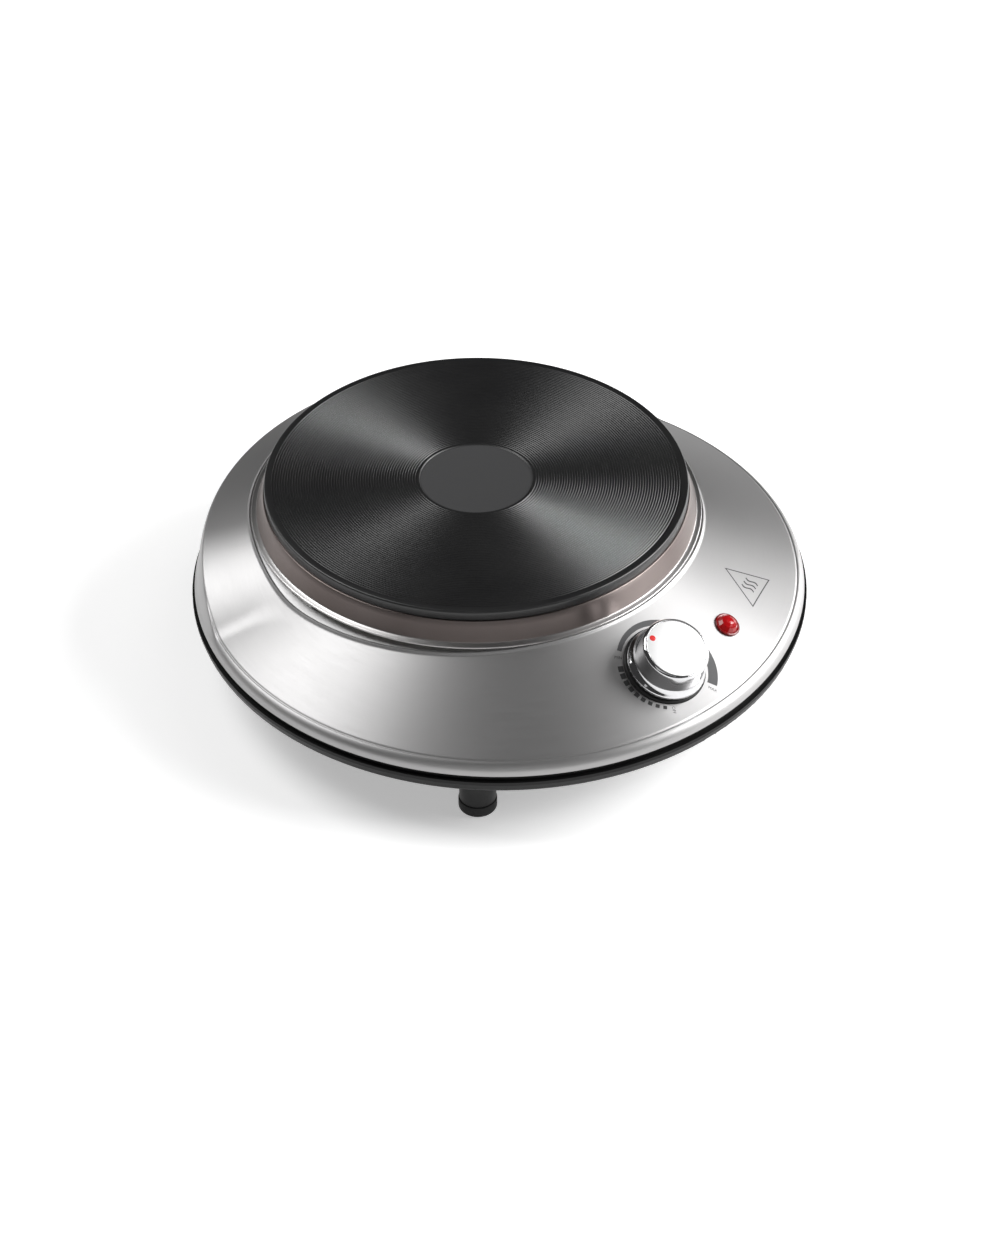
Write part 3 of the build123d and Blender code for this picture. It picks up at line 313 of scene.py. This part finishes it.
def plate_coating(shade):
    scored = cloud(shade, 2600, 2, round_lay(shade, plate_axis, 0.004))
    cast = cloud(shade, 1500, 4)
    baked = stepped(cloud(shade, 26, 3), (0.35, 0.0), (0.75, 1.0))
    across = shade.node("SeparateXYZ", None, {"Vector": round_lay(shade, plate_axis)}, "X") * 1000
    sunk = stepped(across * 0.02, (centre_disc * 0.02 - 0.02, 1.0), (centre_disc * 0.02, 0.0))
    iron = blend(baked, (0.006, 0.006, 0.0065), (0.012, 0.012, 0.012))
    return {
        "Base Color": blend(sunk, iron, (0.036, 0.036, 0.037)),
        "Roughness": scored * 0.10 + cast * 0.10 + sunk * 0.2 + 0.24,
        "Metallic": 0.0,
        "Specular IOR Level": 0.72,
        "Normal": relief(scored * 0.6 + cast * 0.4, 0.00003),
    }


coated_iron = finish_of("coated_iron", plate_coating)
add_piece(
    "grooved_plate", turned(plate_section(), 288, plate_axis), coated_iron,
    "housing", "cast_iron", "hotplate_casting",
)

# --- Spill collar -------------------------------------------------------------------------
# A thin stainless collar, drawn and hemmed, that closes the gap under the plate's rim and
# sheds what boils over. Heat has left a warm tint in its satin wall, but not in its hem.
ring_low, ring_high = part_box("spill_ring")
ring_top = ring_high.z / MM
ring_foot = ring_low.z / MM
ring_radius = (ring_high.x - ring_low.x) / 2 / MM
ring_section = [
    (casting_radius + 0.1, ring_top, 0.1),
    (plate_radius + 0.5, ring_top, 0.25),
    (plate_radius + 1.5, ring_top - 2.4, 0),
    (96.3, ring_foot + 1.2, 0.4),
    (97.6, ring_foot + 0.95, 0.3),
    (ring_radius, ring_foot + 0.8, 0.35),
    (ring_radius, ring_foot, 0.12),
    (97.4, ring_foot, 0.1),
    (97.2, ring_foot + 0.35, 0),
    (95.6, ring_foot + 0.35, 0.2),
    (plate_radius - 0.2, ring_top - 0.6, 0.3),
    (casting_radius + 0.1, ring_top - 0.6, 0.1),
]


def warm_satin(shade):
    lay = round_lay(shade, plate_axis, 0.01, 1.0)
    brushed = cloud(shade, 2400, 3, lay)
    tinted = stepped(cloud(shade, 24), (0.3, 0.0), (0.7, 1.0))
    heated = blend(tinted, (0.165, 0.138, 0.13), (0.205, 0.175, 0.166))
    past_wall = shade.node("SeparateXYZ", None, {"Vector": lay}, "X") - 95.5 * MM
    cool_hem = stepped(past_wall * 500, (0.3, 0.0), (0.5, 1.0))
    return {
        "Base Color": blend(cool_hem, heated, (0.58, 0.57, 0.565)),
        "Metallic": 1.0,
        "Roughness": brushed * 0.14 + 0.28,
        "Anisotropic": 0.6,
        "Anisotropic Rotation": 0.25,
        "Tangent": shade.node("Tangent", {"direction_type": "RADIAL", "axis": "Z"}),
        "Normal": relief(brushed, 0.00001),
    }


warm_steel = finish_of("warm_satin_steel", warm_satin)
add_piece(
    "spill_collar", turned(ring_section, 256, plate_axis), warm_steel,
    "housing", "ring_steel", "spill_ring",
)

# --- Shell --------------------------------------------------------------------------------
# One deep-drawn stainless pressing. In front it is a sloping panel for the knob and the lamp,
# and behind, a raised tier spreads from round the plate out to the rim, with soft corners.
# A pressed line runs above the rolled rim. The finish is brushed round the middle.
shell_low, shell_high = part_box("top_shell")
shell_gauge = 0.8
shell_roof = shell_high.z / MM
shell_foot = shell_low.z / MM
shell_radius = (shell_high.x - shell_low.x) / 2 / MM
opening_radius = 94.2
plate_shift = plate_centre.y / MM
knob_joint = next(joint for joint in frame["joints"] if joint["name"] == "knob_turn")
knob_foot = Vector(knob_joint["pos_m"])
knob_out = -Vector(knob_joint["axis"]).normalized()
panel_slope = math.acos(knob_out.z)
knob_distance = -knob_foot.y / MM
knob_level = knob_foot.z / MM
rim_round = 5.0
rim_start, rim_end = 131.04, 133.815
rim_middle, rim_level = 128.88, 33.27
pressed_line = 130.5
fold_radius = 101.0
fold_corner, fold_lean, fold_bend = -38.5, 0.6, 16.4
flank_rise = 0.5
crest_radius, roof_fall = 98.5, math.tan(math.radians(20))
bead_radius, bead_end = 99.5, 103.0
wall_radius, wall_level = 133.0, 36.5
wall_draft = math.tan(math.radians(10))


def larger(a, b, reach):
    """The larger of two heights, rounded where they cross."""
    near = max(reach - abs(a - b), 0) / reach
    return max(a, b) + near * near * reach / 4


def smaller(a, b, reach):
    return -larger(-a, -b, reach)


def front_height(radius):
    """Sloping panel, pressed line and rolled rim, by distance from the base's middle."""
    if radius > rim_start:
        return rim_level + math.sqrt(max(rim_round**2 - (radius - rim_middle) ** 2, 0))
    panel = knob_level + (knob_distance - radius) * math.tan(panel_slope)
    return panel - 0.3 * math.exp(-(((radius - pressed_line) / 0.35) ** 2))


def shell_height(x, y):
    """The panel, with the tier rising from its fold to the roof and ending in an outer wall."""
    radius = math.hypot(x, y)
    from_plate = math.hypot(x, y - plate_shift)
    panel = front_height(radius)
    skirt = fold_radius - from_plate
    flare = (y - fold_corner - fold_lean * abs(x)) / math.hypot(1, fold_lean)
    inside = larger(skirt, flare, fold_bend)
    roof = shell_roof - max(0, from_plate - crest_radius) * roof_fall
    flank = panel + flank_rise * inside
    wall = wall_level + (wall_radius - radius) / wall_draft
    tier = smaller(smaller(roof, flank, 14), wall, 7)
    bead = 0.75 * math.exp(-(((from_plate - bead_radius) / 0.5) ** 2))
    return min(larger(panel, tier, 1.6), shell_roof) + bead


def on_shell(x, y, proud=0.0):
    """The point of the shell's outside at a place in plan, all in millimetres."""
    return Vector((x, y, shell_height(x, y) + proud)) * MM


def pressing():
    """Rings spun from one spoke, shifted round the plate's opening and drawn to height."""
    form = bmesh.new()
    radii = [opening_radius + 0.275 * step for step in range(32)]
    radii += [bead_end + 0.8 * step for step in range(29)]
    radii += [126.2 + 0.24 * step for step in range(31)]
    radii += [133.6, rim_end]
    spoke = [form.verts.new((radius * MM, 0, 0)) for radius in radii]
    edges = [form.edges.new(pair) for pair in zip(spoke, spoke[1:])]
    bmesh.ops.spin(
        form, geom=spoke + edges, cent=(0, 0, 0), axis=(0, 0, 1), angle=math.tau,
        steps=420, use_merge=True,
    )
    bmesh.ops.remove_doubles(form, verts=form.verts[:], dist=1e-6)
    bmesh.ops.recalc_face_normals(form, faces=form.faces[:])
    if form.faces[0].normal.z < 0:
        bmesh.ops.reverse_faces(form, faces=form.faces[:])
    for vert in form.verts:
        share = min(max((129 - vert.co.length / MM) / (129 - bead_end), 0), 1)
        vert.co.y += plate_shift * MM * share
        vert.co = on_shell(vert.co.x / MM, vert.co.y / MM)
    return form


def pierce(form, centre, out, radius):
    """Opens a round hole across the sheet, about an axis square to the panel."""

    def off_axis(point):
        away = point - centre
        return (away - out * away.dot(out)).length

    around = [face for face in form.faces if off_axis(face.calc_center_median()) < (radius + 1.2) * MM]
    bmesh.ops.delete(form, geom=around, context="FACES")
    reach = (radius + 4) * MM
    edge_loop = [edge for edge in form.edges if edge.is_boundary and off_axis(edge.verts[0].co) < reach]
    placed = Matrix.Translation(centre) @ out.to_track_quat("Z", "Y").to_matrix().to_4x4()
    hole = bmesh.ops.create_circle(form, cap_ends=False, segments=36, radius=radius * MM, matrix=placed)
    for vert in hole["verts"]:
        vert.co = on_shell(vert.co.x / MM, vert.co.y / MM)
    hole_loop = list({edge for vert in hole["verts"] for edge in vert.link_edges})
    bmesh.ops.bridge_loops(form, edges=edge_loop + hole_loop)


lens_low, lens_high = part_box("lamp_lens")
lamp_turn = math.atan2(lens_low.x + lens_high.x, -lens_low.y - lens_high.y)
lamp_distance = 111.0
lamp_foot = on_shell(lamp_distance * math.sin(lamp_turn), -lamp_distance * math.cos(lamp_turn))
lamp_out = Matrix.Rotation(lamp_turn, 3, "Z") @ knob_out

shell_form = pressing()
pierce(shell_form, knob_foot, knob_out, 5.1)
pierce(shell_form, lamp_foot, lamp_out, 4.75)
rim_edges = [edge for edge in shell_form.edges if edge.is_boundary and edge.verts[0].co.xy.length > 0.133]
rim_drop = bmesh.ops.extrude_edge_only(shell_form, edges=rim_edges)
for vert in rim_drop["geom"]:
    if isinstance(vert, bmesh.types.BMVert):
        vert.co.xy *= shell_radius * MM / vert.co.xy.length
        vert.co.z = shell_foot * MM
bmesh.ops.recalc_face_normals(shell_form, faces=shell_form.faces[:])
if sum(face.normal.z for face in shell_form.faces) < 0:
    bmesh.ops.reverse_faces(shell_form, faces=shell_form.faces[:])
bmesh.ops.solidify(shell_form, geom=shell_form.faces[:], thickness=shell_gauge * MM)


def spun_brushing(shade):
    coarse = cloud(shade, 1500, 3, round_lay(shade, (0, 0), 0.004))
    fine = cloud(shade, 5000, 2, round_lay(shade, (0, 0), 0.012))
    handled = stepped(cloud(shade, 12), (0.3, 0.0), (0.7, 1.0))
    return {
        "Base Color": blend(handled, (0.40, 0.396, 0.396), (0.435, 0.43, 0.43)),
        "Metallic": 1.0,
        "Roughness": coarse * 0.06 + fine * 0.06 + 0.40,
        "Anisotropic": 0.35,
        "Anisotropic Rotation": 0.25,
        "Tangent": shade.node("Tangent", {"direction_type": "RADIAL", "axis": "Z"}),
        "Normal": relief(coarse * 0.6 + fine * 0.4, 0.000012),
    }


brushed_steel = finish_of("brushed_shell_steel", spun_brushing)
add_piece("pressed_shell", shell_form, brushed_steel, "housing", "brushed_shell", "top_shell", crisp=50)

# --- Legs and pads ------------------------------------------------------------------------
# Four moulded plastic legs that flare where they meet the pan, screwed on from below, each
# with a soft rubber cap pushed into its foot.
leg_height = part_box("leg_front_left")[1].z / MM
pad_height = 6.0


def moulded(colour, polish, grain=2600, depth=0.00002):
    """Settings for a plastic or rubber that takes a fine grain from its mould."""

    def settle(shade):
        texture = cloud(shade, grain, 3)
        worn = stepped(cloud(shade, 40, 3), (0.4, 0.0), (0.8, 1.0))
        lighter = tuple(level * 1.25 + 0.004 for level in colour)
        return {
            "Base Color": blend(worn, colour, lighter),
            "Roughness": texture * 0.16 + polish,
            "Specular IOR Level": 0.25,
            "Normal": relief(texture, depth),
        }

    return settle


black_plastic = finish_of("black_moulded_plastic", moulded((0.012, 0.012, 0.012), 0.34))
foot_rubber = finish_of("black_foot_rubber", moulded((0.014, 0.014, 0.014), 0.52, 1800, 0.00004))
leg_section = [
    (7.75, pad_height, 0.3),
    (7.75, leg_height - 5, 2.0),
    (8.7, leg_height - 1.9, 1.0),
    (10.15, leg_height - 0.9, 0.3),
    (10.15, leg_height, 0.2),
    (1.8, leg_height, 0),
    (1.8, leg_height - 12, 0),
    (0, leg_height - 12, 0),
    (0, 8.5, 0),
    (3.5, 8.5, 0),
    (3.5, pad_height, 0.2),
]
pad_section = [
    (0, 0, 0),
    (6.0, 0, 0.3),
    (8.1, 0.9, 0.8),
    (8.1, pad_height, 0.5),
    (3.4, pad_height, 0),
    (3.4, 8.3, 0.3),
    (0, 8.3, 0),
]
for corner in ("front_left", "front_right", "rear_left", "rear_right"):
    leg_low, leg_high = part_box("leg_" + corner)
    leg_axis = ((leg_low.x + leg_high.x) / 2, (leg_low.y + leg_high.y) / 2)
    add_piece(
        "turned_leg_" + corner, turned(leg_section, 64, leg_axis), black_plastic,
        "housing", "black_plastic", "leg_" + corner,
    )
    add_piece(
        "rubber_pad_" + corner, turned(pad_section, 64, leg_axis), foot_rubber,
        "housing", "foot_rubber", "foot_pad_" + corner,
    )

# --- Knob, its disc, its dot and the ring beneath it --------------------------------------
# A chromed knob with a flared skirt and a waisted grip, a bright metal disc pressed into its
# top, and a red enamel dot let into the disc. It turns over a black plastic ring.
knob_place = Matrix.Translation(knob_foot) @ Matrix.Rotation(panel_slope, 4, "X")
knob_top = 15.6
disc_seat = knob_top - 1
dot_radius = 1.35
knob_section = [
    (10.9, 1.8, 0.15),
    (17.2, 1.8, 0.25),
    (17.2, 3.2, 0.5),
    (15.1, 5.3, 1.6),
    (14.4, disc_seat, 0.35),
    (13.5, knob_top, 0.3),
    (12.92, knob_top, 0.12),
    (12.92, disc_seat, 0),
    (0, disc_seat, 0),
    (0, 13.4, 0),
    (3.05, 13.4, 0),
    (3.05, 6.0, 0),
    (10.9, 6.0, 0.4),
]
cap_section = [
    (0, disc_seat, 0),
    (12.84, disc_seat, 0),
    (12.84, knob_top - 0.1, 0.18),
    (0, knob_top - 0.1, 0),
]
bezel_section = [
    (11.5, -0.7, 0),
    (18.05, -0.7, 0),
    (18.05, 0.7, 0.4),
    (17.4, 1.2, 0.35),
    (11.5, 1.2, 0.2),
]


def turned_on_panel(section, steps, place):
    """A turned form stood on the sloping panel."""
    form = turned(section, steps)
    bmesh.ops.transform(form, matrix=place, verts=form.verts[:])
    return form


def chrome(shade):
    drawn = cloud(shade, 900, 2)
    return {
        "Base Color": blend(drawn, (0.60, 0.60, 0.61), (0.66, 0.66, 0.67)),
        "Metallic": 1.0,
        "Roughness": drawn * 0.05 + 0.05,
        "Normal": relief(drawn, 0.000003),
    }


def bright_disc(shade):
    polished = cloud(shade, 1200, 2)
    return {
        "Base Color": blend(polished, (0.93, 0.93, 0.93), (0.96, 0.96, 0.96)),
        "Metallic": 1.0,
        "Roughness": polished * 0.08 + 0.46,
        "Normal": relief(polished, 0.000004),
    }


def red_enamel(shade):
    flow = cloud(shade, 700, 2)
    return {
        "Base Color": blend(flow, (0.62, 0.01, 0.012), (0.72, 0.015, 0.015)),
        "Roughness": flow * 0.1 + 0.2,
        "Coat Weight": 0.5,
    }


chrome_plate = finish_of("mirror_chrome", chrome)
bright_metal = finish_of("bright_knob_disc", bright_disc)
dot_enamel = finish_of("red_dot_enamel", red_enamel)
add_piece(
    "chrome_knob", turned_on_panel(knob_section, 128, knob_place), chrome_plate,
    "knob", "knob_chrome", "knob_body",
)
add_piece(
    "knob_disc", turned_on_panel(cap_section, 128, knob_place), bright_metal,
    "knob", "knob_face", "knob_cap",
)
dot_low, dot_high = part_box("knob_dot")
dot_spot = knob_place.inverted() @ ((dot_low + dot_high) / 2)
dot_place = knob_place @ Matrix.Translation((dot_spot.x, dot_spot.y, 0))
dot_section = [
    (0, disc_seat, 0),
    (dot_radius, disc_seat, 0),
    (dot_radius, knob_top - 0.05, 0.1),
    (0, knob_top - 0.05, 0),
]
add_piece(
    "pointer_dot", turned_on_panel(dot_section, 32, dot_place), dot_enamel,
    "knob", "red_enamel", "knob_dot",
)
add_piece(
    "knob_ring", turned_on_panel(bezel_section, 128, knob_place), black_plastic,
    "housing", "black_plastic", "dial_bezel",
)

# --- Dial print and heat mark -------------------------------------------------------------
# Baked ink on the panel: a band that widens towards the hottest setting, marks that grow from
# OFF to MIN, three plain words, and a plain triangle with heat lines between plate and rim.
ink_lift = 0.03
band_inside = 19.2
marks_middle = 19.6


def ink(shade):
    screened = cloud(shade, 3000, 3)
    return {
        "Base Color": blend(screened, (0.022, 0.022, 0.022), (0.04, 0.04, 0.04)),
        "Roughness": screened * 0.2 + 0.35,
    }


panel_ink = finish_of("panel_ink", ink)


def grey_ink_settings(shade):
    screened = cloud(shade, 3000, 3)
    return {
        "Base Color": blend(screened, (0.06, 0.06, 0.062), (0.085, 0.085, 0.088)),
        "Roughness": screened * 0.2 + 0.35,
    }


grey_ink = finish_of("grey_panel_ink", grey_ink_settings)


def print_on(form, place):
    """Lays flat marks, drawn in millimetres about a place, on the shell as a film of ink."""
    for vert in form.verts:
        spot = place @ Vector((vert.co.x * MM, vert.co.y * MM, 0)) / MM
        vert.co = on_shell(spot.x, spot.y, ink_lift)
    bmesh.ops.recalc_face_normals(form, faces=form.faces[:])
    if sum(face.normal.z for face in form.faces) < 0:
        bmesh.ops.reverse_faces(form, faces=form.faces[:])
    bmesh.ops.solidify(form, geom=form.faces[:], thickness=ink_lift * MM)
    return form


def clock(radius, degrees):
    """A point of the dial, turned clockwise from straight uphill."""
    return Vector((radius * math.sin(math.radians(degrees)), radius * math.cos(math.radians(degrees))))


def strip(form, segments, middle, width):
    """A ribbon of ink: a grid laid along the middle line, a point and its side way for each share."""
    made = bmesh.ops.create_grid(form, x_segments=segments, y_segments=2, size=0.5)
    for vert in made["verts"]:
        share = vert.co.x + 0.5
        point, side = middle(share)
        vert.co.xy = point + side * (vert.co.y * width(share))


def dial_band(form):
    """The band from MIN round to MAX, 2 mm wide at first and 4.4 mm at the end."""

    def width(share):
        return 2.0 + 2.4 * share

    def middle(share):
        turn = -41 + 182 * share
        return clock(band_inside + width(share) / 2, turn), clock(1, turn)

    strip(form, 90, middle, width)


def dial_marks(form):
    """Nine blocks from OFF to MIN, each a little larger than the last."""
    for mark in range(9):
        turn = -142.5 + 9.7 * mark
        size = 1.5 + 0.11 * mark

        def middle(share, turn=turn, size=size):
            along = (share - 0.5) * math.degrees(size * 1.1 / marks_middle)
            return clock(marks_middle, turn + along), clock(1, turn)

        strip(form, 3, middle, lambda share, size=size: size)


def word(form, text, height, radius, turn, spin):
    """A plain word on the dial, centred at a radius and turn of the dial and spun on the spot."""
    curve = bpy.data.curves.new(text, "FONT")
    curve.body = text
    curve.size = height
    curve.align_x = "CENTER"
    curve.align_y = "CENTER"
    written = bpy.data.objects.new(text, curve)
    bpy.context.scene.collection.objects.link(written)
    letters = bpy.data.meshes.new_from_object(written)
    spot = Matrix.Translation(clock(radius, turn).to_3d())
    letters.transform(spot @ Matrix.Rotation(math.radians(spin), 4, "Z"))
    form.from_mesh(letters)
    bpy.data.meshes.remove(letters)
    bpy.data.objects.remove(written)
    bpy.data.curves.remove(curve)


band_form = bmesh.new()
dial_band(band_form)
add_piece("dial_band", print_on(band_form, knob_place), grey_ink, "housing", "black_plastic")
marks_form = bmesh.new()
dial_marks(marks_form)
word(marks_form, "OFF", 1.9, 20.6, -153, 243)
word(marks_form, "MIN", 1.9, 20.3, -50, -40)
word(marks_form, "MAX", 1.9, 22.2, 147, -57)
bmesh.ops.triangulate(marks_form, faces=marks_form.faces[:])
add_piece("dial_marks", print_on(marks_form, knob_place), panel_ink, "housing", "black_plastic")

mark_spot = Vector((65.35, -89.75))
mark_turn = math.atan2(mark_spot.x, -mark_spot.y)
mark_place = (
    Matrix.Translation((mark_spot.x * MM, mark_spot.y * MM, 0))
    @ Matrix.Rotation(mark_turn, 4, "Z")
    @ Matrix.Diagonal((1, math.cos(panel_slope), 1, 1))
    @ Matrix.Rotation(math.radians(-9.3), 4, "Z")
)
mark_form = bmesh.new()
bmesh.ops.create_circle(mark_form, cap_ends=True, segments=3, radius=12.8)
bmesh.ops.inset_region(
    mark_form, faces=mark_form.faces[:], thickness=0.5, use_even_offset=True, use_boundary=True,
)
inner = min(mark_form.faces, key=lambda face: face.calc_center_median().length)
bmesh.ops.delete(mark_form, geom=[inner], context="FACES_ONLY")
long_edges = [edge for edge in mark_form.edges if edge.calc_length() > 5]
bmesh.ops.subdivide_edges(mark_form, edges=long_edges, cuts=11, use_grid_fill=True)
for heat_line in range(3):

    def wave(share, heat_line=heat_line):
        sway = 0.7 * math.sin(share * math.tau)
        return Vector((-2.6 + 2.6 * heat_line + sway, -3.4 + 6.2 * share)), Vector((1, 0))

    strip(mark_form, 24, wave, lambda share: 0.75)
add_piece("heat_mark", print_on(mark_form, mark_place), panel_ink, "housing", "black_plastic")

# --- Signal lamp --------------------------------------------------------------------------
# A clear red lens snapped into the panel: a smooth rim, and a low dome cut into facets that
# scatter the light of the neon lamp behind it.
lamp_place = Matrix.Translation(lamp_foot) @ lamp_out.to_track_quat("Z", "Y").to_matrix().to_4x4()
lens_rim_section = [
    (4.5, 0.05, 0),
    (5.7, 0.05, 0.1),
    (5.7, 0.8, 0.3),
    (5.0, 1.05, 0.2),
    (4.7, 0.9, 0),
    (3.6, 0.4, 0),
    (3.6, -6.0, 0),
    (4.6, -6.0, 0.2),
]
lens_dome_section = [
    (0, 3.6, 0),
    (1.7, 3.35, 0),
    (3.4, 2.45, 0),
    (4.55, 0.95, 0),
    (4.55, 0.3, 0),
    (0, 0.3, 0),
]


def red_lens(shade):
    place = shade.node("TexCoord", output="Object")
    way = shade.node("VectorMath", {"operation": "SUBTRACT"}, {0: place, 1: lamp_foot})
    off_middle = shade.node("VectorMath", {"operation": "LENGTH"}, {0: way}, "Value")
    core = stepped(off_middle * 160, (0.25, 1.0), (0.62, 0.45), (0.95, 0.0))
    return {
        "Base Color": blend(core, (0.10, 0.001, 0.002), (0.50, 0.005, 0.01)),
        "Roughness": 0.14,
        "Coat Weight": 0.2,
        "Emission Color": blend(core, (0.0, 0.0, 0.0), (0.9, 0.01, 0.012)),
        "Emission Strength": 0.3,
    }


lens_plastic = finish_of("red_lens_plastic", red_lens)
add_piece(
    "lens_rim", turned_on_panel(lens_rim_section, 64, lamp_place), lens_plastic,
    "housing", "red_lens", "lamp_lens",
)
add_piece(
    "lens_facets", turned_on_panel(lens_dome_section, 12, lamp_place), lens_plastic,
    "housing", "red_lens", crisp=5,
)

# --- Pan and everything inside ------------------------------------------------------------
# The enamelled pan, the heating coils and their ceramic, the thermostat with its blades, the
# terminals, leads and screws: each keeps its shape, and takes the finish of what it is made of.


def metal(colour, polish, grain=900, depth=0.00001):
    """Settings for a plated, rolled or bare metal, a little uneven in polish and colour."""

    def settle(shade):
        rolled = cloud(shade, grain, 3)
        stained = stepped(cloud(shade, 60, 3), (0.4, 0.0), (0.8, 1.0))
        darker = tuple(level * 0.82 for level in colour)
        return {
            "Base Color": blend(stained, colour, darker),
            "Metallic": 1.0,
            "Roughness": rolled * 0.16 + polish,
            "Normal": relief(rolled, depth),
        }

    return settle


def pan_enamel(shade):
    orange_peel = cloud(shade, 700, 2)
    dusty = stepped(cloud(shade, 30, 3), (0.45, 0.0), (0.8, 1.0))
    return {
        "Base Color": blend(dusty, (0.005, 0.005, 0.005), (0.009, 0.009, 0.009)),
        "Roughness": orange_peel * 0.10 + 0.34,
        "Specular IOR Level": 0.2,
        "Normal": relief(orange_peel, 0.00001),
    }


def woven(colour):
    """Settings for braided or woven glass fibre, with its threads standing out."""

    def settle(shade):
        place = shade.node("TexCoord", output="Object")
        threads = shade.node("TexVoronoi", None, {"Vector": place, "Scale": 1400.0}, "Distance")
        darker = tuple(level * 0.7 for level in colour)
        return {
            "Base Color": blend(threads, colour, darker),
            "Roughness": 0.85,
            "Normal": relief(threads, 0.0001),
        }

    return settle


inside_finishes = {
    "black_enamel": pan_enamel,
    "coil_wire": metal((0.30, 0.27, 0.25), 0.45, 2000),
    "ceramic": moulded((0.78, 0.75, 0.68), 0.6, 1600, 0.00005),
    "zinc_steel": metal((0.62, 0.62, 0.60), 0.28),
    "brass": metal((0.75, 0.55, 0.26), 0.22),
    "gasket_fibre": woven((0.70, 0.69, 0.64)),
    "bright_aluminium": metal((0.82, 0.82, 0.82), 0.2),
    "black_plastic": moulded((0.012, 0.012, 0.012), 0.34),
    "lamp_glass": moulded((0.75, 0.42, 0.28), 0.05, 600, 0.000002),
    "white_plastic": moulded((0.72, 0.71, 0.68), 0.35),
    "fuse_sleeve": woven((0.66, 0.62, 0.50)),
    "lead_brown": moulded((0.16, 0.06, 0.03), 0.4),
    "lead_white": moulded((0.70, 0.69, 0.66), 0.4),
    "lead_blue": moulded((0.03, 0.10, 0.34), 0.4),
    "lead_green": moulded((0.10, 0.30, 0.06), 0.4),
}
inside_materials = {slot: finish_of(slot + "_finish", settle) for slot, settle in inside_finishes.items()}
own_materials = {
    "cast_iron": coated_iron,
    "ring_steel": warm_steel,
    "brushed_shell": brushed_steel,
    "knob_chrome": chrome_plate,
    "knob_face": bright_metal,
    "red_enamel": dot_enamel,
    "red_lens": lens_plastic,
    "foot_rubber": foot_rubber,
}
for subpart in frame["record"]["subparts"]:
    slot = subpart["material_slot"]
    node = frame["nodes"][subpart["node"]]
    node.data.materials.clear()
    node.data.materials.append(inside_materials.get(slot) or own_materials[slot])
